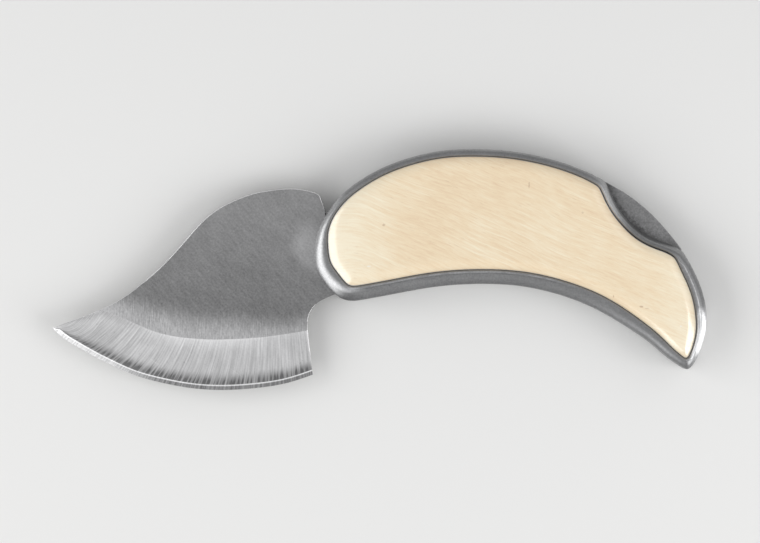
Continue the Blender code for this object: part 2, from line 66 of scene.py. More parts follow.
camera = bpy.data.objects.new("camera", bpy.data.cameras.new("camera"))
bpy.context.scene.collection.objects.link(camera)
camera.data.sensor_width = film_width
camera.data.lens = film_width * lens_distance / (picture_width * pixel)
camera.location = (*picture_centre, plane_height + lens_distance)
bpy.context.scene.camera = camera


# Light: one broad softbox low at each end of the knife and a dim one beside its scoop, in a plain grey
# room. Together they light a level surface so that its colour renders about as it is written.
room_colour = (0.44, 0.44, 0.445, 1)


def place_softbox(name, place, size, power):
    lamp = bpy.data.lights.new(name, "AREA")
    lamp.shape = "RECTANGLE"
    lamp.size, lamp.size_y = size
    lamp.energy = power
    box = bpy.data.objects.new(name, lamp)
    bpy.context.scene.collection.objects.link(box)
    box.location = place
    box.rotation_euler = (-box.location).to_track_quat("-Z", "Y").to_euler()


place_softbox("softbox_blade_end", (-0.507, -0.117, 0.468), (0.90, 0.56), 3.05)
place_softbox("softbox_butt_end", (0.493, -0.230, 0.425), (0.46, 0.52), 2.05)
place_softbox("softbox_scoop_side", (0.449, 0.209, 0.495), (0.40, 0.40), 0.20)

room = bpy.data.worlds.new("room")
room.use_nodes = True
room.node_tree.nodes["Background"].inputs["Color"].default_value = room_colour
bpy.context.scene.world = room
bpy.context.scene.view_settings.view_transform = "Standard"


# Floor: a plain pale studio table, one flat face that the knife lies on. It isn't part of the knife and
# only catches its shadow.
floor_size = 4.0
floor_colour = (0.80, 0.80, 0.79, 1)


def new_finish(name):
    """A material and its shader."""
    finish = bpy.data.materials.new(name)
    finish.use_nodes = True
    return finish, finish.node_tree.nodes["Principled BSDF"]


floor_finish, floor_shader = new_finish("table_top")
floor_shader.inputs["Base Color"].default_value = floor_colour
floor_shader.inputs["Roughness"].default_value = 0.9
floor_shader.inputs["Specular IOR Level"].default_value = 0.1
floor_mesh = bpy.data.meshes.new("table_top")
corners = [(x * floor_size / 2, y * floor_size / 2, 0) for x, y in ((-1, -1), (1, -1), (1, 1), (-1, 1))]
floor_mesh.from_pydata(corners, [], [(0, 1, 2, 3)])
floor = bpy.data.objects.new("table_top", floor_mesh)
bpy.context.scene.collection.objects.link(floor)
floor_mesh.materials.append(floor_finish)


# Handle frames: two mirror halves of satin cast steel. Each has a rounded rim round a pocket, a deeper
# slope in the thumb scoop, and countersunk holes in the pocket floor for the four peened pins.
handle_length = 0.1015
handle_height = 0.0573
corner_softness = 0.0009
line_step = 0.0003
least_gap = line_step / 4
merge_distance = line_step / 60
smallest_length = 1e-12
sharp_turn = 40.0
half_knife = 0.0066
half_slot = 0.00155
frame_top = 0.00605
pocket_floor = 0.00305
groove = 0.00004
rim_hair = 0.00003
nose_heights = (-0.0030, 0.0065, 0.0100)
nose_widths = (0.0041, 0.0032, 0.0019)
rim_back = 0.00190
rim_scoop = 0.0024
butt_heights = (-0.0200, -0.0160)
butt_widths = (0.0022, 0.0030)
rim_belly = 0.0038
rim_blend = 0.0048
mark_blend = 0.0034
belly_ease_share = 0.25
bead_share = 0.95
bead_start = 40.0
bead_drop = 0.00095
nose_drop = 0.00118
butt_drop = 0.00120
bead_corner = 0.00015
scoop_drop = 0.0034
lip_width = 0.00030
lip_depth = 0.00045
scoop_lip_width = 0.00020
scoop_lip_depth = 0.00020
foot_round = 0.00020
# Painted light on the rim: where the painted highlight line beside the lip fades out along the belly, and
# how strong the bead's painted band is up the nose, along the belly and round the butt, a highlight where
# above nought and shade where below.
painted_line_end = 0.056
painted_line_fade = 0.008
nose_painted_band_heights = (-0.0098, -0.0068)
nose_painted_bands = (-0.45, 0.50)
belly_painted_band_places = (-0.0060, -0.0030, 0.0)
belly_painted_bands = (-0.45, -0.35, 0)
butt_painted_band_heights = (-0.0260, -0.0238, -0.0140, -0.0114)
butt_painted_bands = (0, 2.0, 1.5, 0)
butt_flatness = 0.85
butt_painted_lines = 1.3
bead_steps = 10
butt_flat_from = 0.5
wall_share = 1.25
bump_depth = 0.00002
rib_turn = 3.0
rib_length = 0.0015
nose_shares = ((-0.0605, -0.152), (-0.0795, -0.115), (-0.0945, -0.080), (-0.1075, -0.043),
               (-0.1140, -0.006), (-0.1160, 0.032), (-0.1148, 0.070), (-0.1060, 0.146), (-0.084, 0.222),
               (-0.051, 0.298))
back_shares = ((-0.051, 0.298), (-0.010, 0.358), (0.051, 0.422), (0.133, 0.476), (0.215, 0.506),
               (0.2975, 0.512), (0.379, 0.504), (0.461, 0.479), (0.543, 0.436), (0.627, 0.369),
               (0.707, 0.283), (0.748, 0.220), (0.789, 0.143), (0.8275, 0.055))
scoop_shares = ((0.627, 0.369), (0.641, 0.322), (0.661, 0.255), (0.687, 0.195), (0.722, 0.137),
                (0.769, 0.096), (0.805, 0.072), (0.8270, 0.049))
butt_shares = ((0.8270, 0.049), (0.850, -0.024), (0.871, -0.105), (0.8873, -0.227), (0.884, -0.330),
               (0.871, -0.403), (0.852, -0.468), (0.840, -0.490))
belly_shares = ((0.836, -0.4905), (0.789, -0.434), (0.748, -0.372), (0.707, -0.320), (0.666, -0.274),
                (0.584, -0.196), (0.502, -0.144), (0.420, -0.112), (0.338, -0.1005), (0.256, -0.103),
                (0.174, -0.118), (0.093, -0.144), (0.010, -0.171), (-0.021, -0.177), (-0.041, -0.171),
                (-0.0605, -0.152))


def placed(shares, length=handle_length, height=handle_height):
    return np.array(shares) * (length, height)


def curve_through(points):
    """Natural cubic curve through the points, as a fine line of points."""
    spans = np.linalg.norm(np.diff(points, axis=0), axis=1)
    count = len(points)
    matrix = np.eye(count)
    right = np.zeros((count, 2))
    for i in range(1, count - 1):
        matrix[i, i - 1:i + 2] = spans[i - 1], 2 * (spans[i - 1] + spans[i]), spans[i]
        ahead = (points[i + 1] - points[i]) / spans[i]
        behind = (points[i] - points[i - 1]) / spans[i - 1]
        right[i] = 6 * (ahead - behind)
    bend = np.linalg.solve(matrix, right)
    line = [points[0]]
    for i, span in enumerate(spans):
        steps = max(2, round(span / line_step))
        for s in (np.arange(steps) + 1) / steps:
            left = 1 - s
            curl = (left ** 3 - left) * bend[i] + (s ** 3 - s) * bend[i + 1]
            line.append(left * points[i] + s * points[i + 1] + curl * span ** 2 / 6)
    return np.array(line)


def run_of(line):
    """Length run along a line at each of its points."""
    return np.concatenate(([0], np.cumsum(np.linalg.norm(np.diff(line, axis=0), axis=1))))


def at_runs(line, places):
    """Points at the given lengths along a line."""
    run = run_of(line)
    return np.stack([np.interp(places, run, line[:, k]) for k in (0, 1)], axis=1)


def ended(loop):
    """A loop with its first point put at its end again."""
    return np.vstack((loop, loop[:1]))


def apart(line):
    """The line without points that almost coincide with the one before."""
    kept = [line[0]]
    for point in line[1:]:
        if np.linalg.norm(point - kept[-1]) > least_gap:
            kept.append(point)
    return np.array(kept)


def joined(*lines):
    """One closed loop from lines laid end to end."""
    loop = apart(np.concatenate(lines))
    return loop[:-1] if np.linalg.norm(loop[0] - loop[-1]) < least_gap else loop


def rolled(values, reach):
    """Running mean round a loop."""
    return sum(np.roll(values, k, axis=0) for k in range(-reach, reach + 1)) / (2 * reach + 1)


def softened(loop, reach):
    """Closed loop at even steps with its corners rounded off."""
    length = run_of(ended(loop))[-1]
    even = at_runs(ended(loop), np.linspace(0, length, round(length / line_step), endpoint=False))
    return rolled(even, round(reach / line_step))


def anticlockwise(loop):
    ahead = np.roll(loop, -1, axis=0)
    area = (loop[:, 0] * ahead[:, 1] - loop[:, 1] * ahead[:, 0]).sum()
    return loop if area > 0 else loop[::-1]


def unit_rows(vectors):
    return vectors / np.maximum(np.linalg.norm(vectors, axis=-1, keepdims=True), smallest_length)


def left_of(direction):
    return np.stack((-direction[..., 1], direction[..., 0]), axis=-1)


def inward(loop):
    """Normals into an anticlockwise loop, longer at a corner so that an inset keeps its width."""
    before = unit_rows(loop - np.roll(loop, 1, axis=0))
    after = np.roll(before, -1, axis=0)
    middle = unit_rows(left_of(before) + left_of(after))
    return middle / np.maximum((middle * left_of(before)).sum(axis=1), 1 / 2)[:, None]


def ring_inside(loop, widths):
    """Each point of a loop moved inward by its width. Points that a corner crowds out share a line."""
    widths = np.broadcast_to(widths, len(loop))
    moved = loop + inward(loop) * widths[:, None]
    near = np.linalg.norm(moved[:, None] - loop[None], axis=2).min(axis=1)
    good = near > widths - line_step / 2
    at = np.arange(len(loop))
    return np.stack([np.interp(at, at[good], moved[good, k], period=len(loop)) for k in (0, 1)], axis=1)


def softened_ring(ring, reach):
    """A ring with rounder corners, its points still in step with the loop that it lies in."""
    share = run_of(ended(ring))
    soft = ended(softened(ring, reach))
    return at_runs(soft, share[:-1] / share[-1] * run_of(soft)[-1])


def kept_points(line, turn, length):
    """Which points of a fine line a mesh needs: one for each turn of it, or each long straight run."""
    steps = np.diff(line, axis=0)
    headings = np.unwrap(np.arctan2(steps[:, 1], steps[:, 0]))
    kept = [0]
    for i in range(1, len(line) - 1):
        bent = abs(headings[i] - headings[kept[-1]]) > math.radians(turn)
        if bent or np.linalg.norm(line[i] - line[kept[-1]]) > length:
            kept.append(i)
    return kept + [len(line) - 1]


def ribs_of(*rings):
    """Places round a loop where a mesh gets a rib, from the turns of each of its rings."""
    found = set()
    for ring in rings:
        found.update(kept_points(ended(ring), rib_turn, rib_length)[:-1])
    return np.array(sorted(found))


def nearest(line, point):
    return int(np.linalg.norm(line - point, axis=1).argmin())


def new_piece(name, solid, finish):
    """A mesh piece with smooth faces and sharp edges."""
    bmesh.ops.remove_doubles(solid, verts=solid.verts, dist=merge_distance)
    bmesh.ops.recalc_face_normals(solid, faces=solid.faces)
    mesh = bpy.data.meshes.new(name)
    solid.to_mesh(mesh)
    solid.free()
    mesh.shade_smooth()
    mesh.set_sharp_from_angle(angle=math.radians(sharp_turn))
    mesh.materials.append(finish)
    piece = bpy.data.objects.new(name, mesh)
    bpy.context.scene.collection.objects.link(piece)
    return piece


def stacked(name, levels, finish, side=1, marks=()):
    """Closed body from rings in step with each other, each with its heights off the knife's middle. The
    marks are values for the finish, by name, with one value or row of values for each ring."""
    solid = bmesh.new()
    layers = [(solid.verts.layers.float.new(title), values) for title, values in dict(marks).items()]
    rings = []
    for level, (ring, heights) in enumerate(levels):
        heights = half_knife + side * np.broadcast_to(heights, len(ring))
        rings.append([solid.verts.new((x, y, z)) for (x, y), z in zip(ring, heights)])
        for layer, values in layers:
            for vert, value in zip(rings[-1], np.broadcast_to(values[level], len(ring))):
                vert[layer] = value
    solid.faces.new(rings[0])
    solid.faces.new(rings[-1])
    for lower, upper in zip(rings, rings[1:]):
        for i in range(len(lower)):
            solid.faces.new((lower[i - 1], lower[i], upper[i], upper[i - 1]))
    return new_piece(name, solid, finish)


nose_line = curve_through(placed(nose_shares + back_shares[1:]))
scoop_line = curve_through(placed(scoop_shares))
butt_line = curve_through(placed(butt_shares))
belly_line = curve_through(placed(belly_shares))
brow = nearest(nose_line, placed(back_shares[0]))
scoop = nearest(nose_line, scoop_line[0])
handle_loop = anticlockwise(softened(joined(nose_line[:scoop + 1], scoop_line, butt_line, belly_line),
                                     corner_softness))
handle_loop = handle_loop + inward(handle_loop) * rim_hair

belly_ease = np.minimum(np.linspace(0, 1 / belly_ease_share, len(belly_line)), 1)
nose_rim = np.interp(nose_line[:brow, 1], nose_heights, nose_widths)
butt_rim = np.interp(butt_line[:, 1], butt_heights, butt_widths)
belly_rim = butt_rim[-1] + (rim_belly - butt_rim[-1]) * belly_ease
belly_painted_lines = np.clip((painted_line_end - belly_line[:, 0]) / painted_line_fade, 0, 1)
nose_painted_band = np.interp(nose_line[:brow, 1], nose_painted_band_heights, nose_painted_bands)
butt_painted_band = np.interp(butt_line[:, 1], butt_painted_band_heights, butt_painted_bands)
belly_painted_band = np.interp(belly_line[:, 0], belly_painted_band_places, belly_painted_bands)
stretches = ((nose_line[:brow], {"width": nose_rim, "drop": nose_drop, "painted_band": nose_painted_band}),
             (nose_line[brow:scoop], {"width": rim_back, "drop": bead_drop}),
             (scoop_line, {"width": rim_scoop, "drop": scoop_drop, "scoop": 1}),
             (butt_line, {"width": butt_rim, "drop": butt_drop, "painted_lines": butt_painted_lines, "painted_band": butt_painted_band}),
             (belly_line, {"width": belly_rim, "drop": bead_drop, "painted_lines": belly_painted_lines, "painted_band": belly_painted_band}))
stretch_points = np.concatenate([line for line, _ in stretches])
marked = np.array([nearest(stretch_points, point) for point in handle_loop])


def round_rim(name, reach):
    """One value of each stretch of the rim, blended from stretch to stretch round the handle."""
    values = np.concatenate([np.broadcast_to(sizes.get(name, 0), len(line)) for line, sizes in stretches])
    return rolled(values[marked].astype(float), round(reach / line_step))


rim_widths = round_rim("width", rim_blend)
rim_drops = round_rim("drop", mark_blend)
in_scoop = round_rim("scoop", mark_blend)
lip_painted_lines = round_rim("painted_lines", mark_blend)
bead_painted_band = round_rim("painted_band", mark_blend / 2)
# The bead's profile is also made flatter where its painted band is strongest, at the butt.
bead_flat = butt_flatness * np.clip(bead_painted_band - butt_flat_from, 0, 1)
inlay_edge = ring_inside(handle_loop, rim_widths)
inlay_ring = softened_ring(inlay_edge, corner_softness)
pocket_ring = inlay_ring - inward(inlay_ring) * groove


class Wiring:
    """A node tree whose nodes are made by calls. Most of them give the socket that comes out."""

    def __init__(self, tree):
        self.tree = tree

    def feed(self, socket, value):
        """Feed a socket from another one, or set it to a value."""
        if isinstance(value, bpy.types.NodeSocket):
            self.tree.links.new(value, socket)
        else:
            socket.default_value = value

    def node(self, kind, inputs=(), **settings):
        """A node with its settings and inputs."""
        node = self.tree.nodes.new("ShaderNode" + kind)
        for name, value in settings.items():
            setattr(node, name, value)
        for name, value in dict(inputs).items():
            self.feed(node.inputs[name], value)
        return node

    def math(self, operation, one, two=0.0, clamp=False):
        return self.node("Math", {0: one, 1: two}, operation=operation, use_clamp=clamp).outputs[0]

    def plus(self, one, two):
        return self.math("ADD", one, two)

    def minus(self, one, two):
        return self.math("SUBTRACT", one, two)

    def times(self, product, *others):
        for other in others:
            product = self.math("MULTIPLY", product, other)
        return product

    def summed(self, total, *terms):
        """A total plus each value times its weight. A value with a middle counts from there."""
        for value, weight, *middle in terms:
            total = self.node("Math", {0: value, 1: weight, 2: total}, operation="MULTIPLY_ADD").outputs[0]
            if middle:
                total = self.minus(total, weight * middle[0])
        return total

    def graded(self, value, low, high, to_low=0.0, to_high=1.0, kind="SMOOTHSTEP"):
        """A value taken from one range to another."""
        inputs = {"Value": value, "From Min": low, "From Max": high, "To Min": to_low, "To Max": to_high}
        return self.node("MapRange", inputs, interpolation_type=kind).outputs["Result"]

    def faded(self, value, low, high):
        return self.graded(value, low, high, 1.0, 0.0)

    def band(self, value, rise, full, fall, end):
        """1 between two values and 0 well outside them."""
        return self.times(self.graded(value, rise, full), self.faded(value, fall, end))

    def vector(self, operation, one, two=(0, 0, 0), output=0):
        return self.node("VectorMath", {0: one, 1: two}, operation=operation).outputs[output]

    def axes(self, vector):
        return self.node("SeparateXYZ", {0: vector}).outputs

    def combined(self, *values):
        return self.node("CombineXYZ", dict(zip("XYZ", values))).outputs[0]

    def rotated(self, vector, angle):
        inputs = {"Vector": vector, "Angle": angle}
        return self.node("VectorRotate", inputs, rotation_type="Z_AXIS").outputs[0]

    def noise(self, vector, scale, detail=2.0, rough=0.5):
        inputs = {"Vector": vector, "Scale": scale, "Detail": detail, "Roughness": rough}
        return self.node("TexNoise", inputs).outputs["Fac"]

    def drawn_noise(self, places, scales, detail, rough=0.55):
        """Noise drawn out by another scale along each of two or three places."""
        drawn = [self.times(place, scale) for place, scale in zip(places, scales)]
        return self.noise(self.combined(*drawn), 1.0, detail, rough)

    def mixed(self, share, one, two):
        return self.node("Mix", {"Factor": share, 6: one, 7: two}, data_type="RGBA").outputs[2]

    def place(self):
        return self.node("TexCoord").outputs["Object"]

    def marked(self, name):
        """A value that the mesh keeps at its points."""
        return self.node("Attribute", attribute_name=name).outputs["Fac"]

    def effect(self, name, inputs=()):
        """The outputs of a node group used here."""
        return self.node("Group", inputs, node_tree=bpy.data.node_groups[name]).outputs

    def dress(self, shader, colour, rough, height, strength):
        """Give a shader its colour, its roughness and its small heights."""
        bump = self.node("Bump", {"Height": height, "Strength": strength, "Distance": bump_depth})
        self.feed(shader.inputs["Base Color"], colour)
        self.feed(shader.inputs["Roughness"], rough)
        self.feed(shader.inputs["Normal"], bump.outputs["Normal"])


class Group(Wiring):
    """A node group. Its inputs are read by name, and its outputs, all masks or values, are set by name.
    An input without a start value is a vector."""

    def __init__(self, name, inputs, outputs):
        super().__init__(bpy.data.node_groups.new(name, "ShaderNodeTree"))
        sockets = self.tree.interface
        for title, value in inputs.items():
            kind = "Float" if isinstance(value, float) else "Vector"
            socket = sockets.new_socket(name=title, in_out="INPUT", socket_type="NodeSocket" + kind)
            if value is not None:
                socket.default_value = value
        for title in outputs:
            sockets.new_socket(name=title, in_out="OUTPUT", socket_type="NodeSocketFloat")
        self.given = self.tree.nodes.new("NodeGroupInput").outputs
        self.made = self.tree.nodes.new("NodeGroupOutput").inputs

    def __getitem__(self, title):
        return self.given[title]

    def __setitem__(self, title, value):
        self.feed(self.made[title], value)


def new_steel(name):
    """A metal material, its shader and its wiring."""
    finish, shader = new_finish(name)
    shader.inputs["Metallic"].default_value = 1.0
    return finish, shader, Wiring(finish.node_tree)


# Brushed lines: noise drawn out along one direction of the piece.
group = Group("brushed_lines", {"Place": None, "Turn": 0.0, "Length": 60.0, "Fineness": 2200.0}, ["Lines"])
stretch = group.combined(group["Length"], group["Fineness"], group["Fineness"])
turned_place = group.rotated(group["Place"], group["Turn"])
group["Lines"] = group.noise(group.vector("MULTIPLY", turned_place, stretch), 1.0, 3.0, 0.6)

# Handling marks: small pits and short hairline scratches.
group = Group("handling_marks", {"Place": None, "Pit Scale": 900.0, "Turn": 0.6}, ["Pits", "Scratches"])
group["Pits"] = group.graded(group.noise(group["Place"], group["Pit Scale"], 1.0), 0.70, 0.78)
thin = group.vector("MULTIPLY", group.rotated(group["Place"], group["Turn"]), (130.0, 2600.0, 900.0))
group["Scratches"] = group.graded(group.noise(thin, 1.0, 1.0), 0.74, 0.80)


def steel_skin(tree, shader, bright, rough, grain, turn, tint, height=0.0):
    """Brushed grain, clouds and marks of handling over a steel surface of the given brightness."""
    place = tree.place()
    brushed = {"Place": place, "Turn": turn, "Length": 240.0, "Fineness": 3200.0}
    lines = tree.effect("brushed_lines", brushed)["Lines"]
    clouds = tree.noise(place, 130.0, 4.0, 0.55)
    skin = tree.noise(place, 2200.0)
    marks = tree.effect("handling_marks", {"Place": place})
    over = tree.summed(1.0, (lines, grain, 0.5), (clouds, 0.14, 0.5), (skin, 2.4 * grain, 0.5),
                       (marks["Pits"], -0.14), (marks["Scratches"], 0.12))
    scaled = {0: tree.combined(*tint), "Scale": tree.times(bright, over)}
    colour = tree.node("VectorMath", scaled, operation="SCALE").outputs[0]
    rough = tree.summed(rough, (lines, 0.10, 0.5), (clouds, 0.10, 0.5))
    height = tree.summed(height, (lines, 0.5, 0.5), (skin, 0.8, 0.5), (marks["Pits"], -0.8))
    tree.dress(shader, colour, rough, height, 0.25)


# Rim's painted light: a painted highlight line along the ridge beside the inlay, broken along its length, a
# painted shade line outside it, painted shade on the lip beyond it, a painted highlight at the start of the
# scoop, a painted band on the bead's outer half, highlight where its strength is above nought and shade
# where it is below, and a painted highlight on the nose's lower corner.
group = Group("rim_painted_light",
              {"Place": None, "Rim Share": 0.0, "In Scoop": 0.0, "Line Shift": 0.0, "Painted Band": 0.0},
              ["Light Line", "Shade Line", "Painted Lip Shade", "Painted Scoop Highlight", "Painted Bead Band", "Corner Shine"])
place = group["Place"]
wander = group.summed(group["Rim Share"], (group.noise(place, 220.0, 3.0), 0.06, 0.5),
                      (group["Line Shift"], 1.0))
gaps = group.graded(group.noise(place, 420.0, 3.0), 0.36, 0.56, 0.35, 1.0)
group["Light Line"] = group.times(group.band(wander, 0.84, 0.88, 0.93, 0.97), gaps)
group["Shade Line"] = group.band(wander, 0.72, 0.78, 0.80, 0.85)
group["Painted Lip Shade"] = group.graded(group["Rim Share"], 1.0, 1.2)
painted_band_reach = group.faded(group.summed(wander, (group["Painted Band"], -0.15)), 0.36, 0.66)
group["Painted Bead Band"] = group.times(painted_band_reach, group["Painted Band"])
toward_butt, toward_back, _ = group.axes(place)
round_corner = group.times(group.band(toward_butt, -0.0080, -0.0048, -0.0035, 0.0022),
                           group.faded(toward_back, -0.004, 0.0))
middle = group.graded(toward_butt, -0.0070, -0.0015, 0.52, 0.80, "LINEAR")
off_middle = group.math("ABSOLUTE", group.minus(wander, middle))
group["Corner Shine"] = group.times(round_corner, group.faded(off_middle, 0.03, 0.25))
group["Painted Scoop Highlight"] = group.times(group["In Scoop"], group.faded(toward_butt, 0.064, 0.071),
                                   group.graded(wander, 0.0, 0.9, 0.3, 1.0))


def frame_steel(name):
    """Satin cast steel with painted highlights and painted shade on its rim and in the thumb scoop."""
    finish, shader, tree = new_steel(name)
    painted_lines = tree.marked("lip_painted_lines")
    scooped = tree.marked("in_scoop")
    lines = tree.effect("rim_painted_light", {"Place": tree.place(), "Rim Share": tree.marked("rim_share"),
                                      "In Scoop": scooped, "Painted Band": tree.marked("bead_painted_band"),
                                      "Line Shift": tree.graded(painted_lines, 1.0, 1.3, 0.0, 0.26)})
    light = tree.times(lines["Light Line"], tree.math("MINIMUM", painted_lines, 1.0))
    shade = tree.times(lines["Shade Line"], painted_lines)
    # Besides the grain, the brightness here is painted light: the painted highlight and shade lines by the
    # lip, painted shade on the lip and over the whole scoop, and painted highlights at the scoop's start, on
    # the bead and at the nose's lower corner.
    bright = tree.summed(1.0, (light, 0.60), (shade, -0.12), (lines["Painted Lip Shade"], -0.30), (scooped, -0.15),
                         (lines["Painted Scoop Highlight"], 1.00), (lines["Painted Bead Band"], 1.0),
                         (lines["Corner Shine"], 1.15))
    steel_skin(tree, shader, bright, 0.37, 0.24, 0.1, (0.322, 0.324, 0.327))
    return finish


round_sides = 48
pin_gap = 0.00006
head_depth = 0.0006


def middle_of(node):
    low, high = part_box(node)
    return ((low + high) / 2)[:2]


def turned(name, profile, place, finish):
    """Round body about an upright axis, from radii and heights off the knife's middle up its side."""
    solid = bmesh.new()
    verts = [solid.verts.new((radius, 0, half_knife + z)) for radius, z in profile]
    edges = [solid.edges.new(pair) for pair in zip(verts, verts[1:])]
    bmesh.ops.spin(solid, geom=verts + edges, cent=(0, 0, 0), axis=(0, 0, 1), angle=math.tau,
                   steps=round_sides, use_merge=True)
    bmesh.ops.translate(solid, verts=solid.verts, vec=(*place, 0))
    return new_piece(name, solid, finish)


def evenly_shaded(piece, turn):
    """Keep flats flat up to the rounded edges beside them, with edges sharp where they turn this much."""
    piece.data.set_sharp_from_angle(angle=math.radians(turn))
    even = piece.modifiers.new("even", "WEIGHTED_NORMAL")
    even.keep_sharp = True
    settled(piece)


def settled(piece):
    """Turn a piece's modifiers into its mesh."""
    graph = bpy.context.evaluated_depsgraph_get()
    mesh = bpy.data.meshes.new_from_object(piece.evaluated_get(graph))
    piece.modifiers.clear()
    piece.data = mesh


def drilled(piece, drills):
    """Cut round holes in a piece and take the drills away."""
    for drill in drills:
        cut = piece.modifiers.new(drill.name, "BOOLEAN")
        cut.operation = "DIFFERENCE"
        cut.solver = "EXACT"
        cut.object = drill
    settled(piece)
    for drill in drills:
        bpy.data.objects.remove(drill, do_unlink=True)


frame_finish = frame_steel("cast_frame_steel")
frame_ribs = ribs_of(handle_loop, pocket_ring)
rim = handle_loop[frame_ribs]
pocket = pocket_ring[frame_ribs]
across = pocket - rim
width = np.linalg.norm(across, axis=1)
drop = rim_drops[frame_ribs]
scooped = in_scoop[frame_ribs]
pin_sizes = {"pivot_pin": (0.0020, 0.0031), "rocker_pin": (0.0012, 0.0019),
             "butt_upper_pin": (0.0011, 0.0018), "butt_lower_pin": (0.0011, 0.0018)}


def make_frame(name, side):
    """One half of the handle, from the slot face up its outer wall and over the bead into the pocket."""
    lip = (lip_width + scoop_lip_width * scooped) / width
    levels = [(rim + across * (foot_round / width)[:, None], half_slot), (rim, half_slot + foot_round),
              (rim, frame_top - drop - bead_corner)]
    shares = [0, 0, 0]
    corner = bead_corner / width / 2
    low = math.radians(bead_start)
    for angle in np.linspace(low, math.pi / 2, bead_steps + 1):
        share = bead_share * (1 - math.cos(angle) / math.cos(low))
        share = corner + share * (bead_share - corner)
        depth = drop * (1 - math.sin(angle)) / (1 - math.sin(low))
        depth += (drop * (1 - share / bead_share) - depth) * bead_flat[frame_ribs]
        levels.append((rim + across * (share * (1 - lip))[:, None], frame_top - depth))
        shares.append(share)
    levels += [(rim + across * (1 - lip)[:, None], frame_top),
               (pocket, frame_top - lip_depth - scoop_lip_depth * scooped), (pocket, pocket_floor)]
    shares += [1, wall_share, wall_share]
    marks = {"rim_share": shares}
    for title, values in (("lip_painted_lines", lip_painted_lines), ("in_scoop", in_scoop), ("bead_painted_band", bead_painted_band)):
        marks[title] = [values[frame_ribs]] * len(levels)
    half = stacked(name, levels, frame_finish, side, marks)
    drills = []
    for pin, (radius, head) in pin_sizes.items():
        top = pocket_floor + pin_gap
        profile = ((0, 0), (radius + pin_gap, 0), (radius + pin_gap, pocket_floor - head_depth),
                   (head + pin_gap, pocket_floor), (head + pin_gap, top), (0, top))
        profile = [(r, side * z) for r, z in profile]
        drills.append(turned(name + "_" + pin + "_drill", profile, middle_of(pin), frame_finish))
    drilled(half, drills)
    evenly_shaded(half, sharp_turn)
    return half


for name, node, side in (("front_handle_half", "front_frame", 1), ("rear_handle_half", "rear_frame", -1)):
    half = make_frame(name, side)
    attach(half, "handle")
    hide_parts(node)


# Inlays: pale wooden scales, sawn to the pockets and glued in over the pin heads, then rounded along
# their edges and finished smooth, with a flat face that stands a little proud of the steel.
inlay_seat_gap = 0.0001
crown_width = 0.0034
nose_crown = 0.0030
nose_crown_end = 0.006
nose_crown_blend = 0.012
crown_drop = 0.0011
crown_power = 2.4
crown_steps = 14
crown_blend = 0.0036


# Wood grain: growth rings and fibres that run level at the blade end and then down towards the butt,
# and a painted sheen, a painted highlight that lightens both ends of the scale, the blade end most.
group = Group("wood_grain", {"Place": None, "Slope": 0.42, "Level End": -0.007, "Slope Start": 0.006},
              ["Rings", "Ring Lines", "Fibres", "Pores", "Patches", "Painted End Sheen"])
place = group["Place"]
along, level_across, depth = group.axes(place)
bent = group.graded(along, group["Level End"], group["Slope Start"])
sloped = group.plus(level_across, group.times(along, bent, group["Slope"]))
across = group.summed(sloped, (group.noise(place, 32.0, 1.0), 0.0034, 0.5),
                      (group.noise(place, 260.0), 0.0003, 0.5))
fibre = along, across, depth
group["Rings"] = group.drawn_noise(fibre, (26.0, 340.0, 60.0), 4.0, 0.66)
ridge = group.math("ABSOLUTE", group.minus(group.drawn_noise(fibre, (9.0, 560.0, 60.0), 1.0), 0.5))
in_places = group.graded(group.noise(place, 60.0, 1.0), 0.46, 0.60)
group["Ring Lines"] = group.times(group.faded(ridge, 0.0, 0.035), in_places)
group["Fibres"] = group.drawn_noise(fibre, (240.0, 1900.0, 60.0), 4.0, 0.72)
group["Pores"] = group.graded(group.drawn_noise(fibre, (420.0, 4600.0, 60.0), 1.0), 0.68, 0.78)
group["Patches"] = group.noise(place, 70.0, 3.0)
# Painted sheen: a painted highlight that lightens the scale's ends.
painted_nose_sheen = group.graded(along, -0.009, 0.014, 1.5, 0.0)
group["Painted End Sheen"] = group.plus(painted_nose_sheen, group.graded(along, 0.066, 0.084))

# Fleck: one small mark at a place in the wood, ragged at its edge.
group = Group("fleck", {"Place": None, "Centre": None, "Size": None}, ["Fleck"])
apart_by = group.vector("DIVIDE", group.vector("SUBTRACT", group["Place"], group["Centre"]), group["Size"])
reach = group.summed(group.vector("LENGTH", apart_by, output="Value"),
                     (group.noise(group["Place"], 2500.0), 0.9, 0.5))
group["Fleck"] = group.faded(reach, 0.35, 1.0)

wood_face = 0.0132
fleck_depth = 0.002
dark_flecks = (((0.0439, 0.0200), (0.00028, 0.0011), 0.45), ((0.0062, 0.0096), (0.00050, 0.00045), 0.50),
               ((0.0658, -0.0089), (0.00025, 0.0006), 0.50), ((0.0730, -0.0116), (0.00065, 0.00035), 0.65),
               ((0.0745, -0.0121), (0.0009, 0.00025), 0.30), ((0.0578, 0.0128), (0.00045, 0.0004), 0.30))
# Two pale flecks are painted glints, small painted highlights on the finish.
painted_glints = (((0.0023, -0.0011), (0.0008, 0.00025), 0.8), ((0.0833, -0.0167), (0.0003, 0.0003), 0.9))


def flecked(tree, mask, flecks):
    """The mask with each fleck added to it, from the fleck's centre, size and strength."""
    for centre, size, strength in flecks:
        spot = {"Place": tree.place(), "Centre": (*centre, wood_face), "Size": (*size, fleck_depth)}
        mask = tree.summed(mask, (tree.effect("fleck", spot)["Fleck"], strength))
    return mask


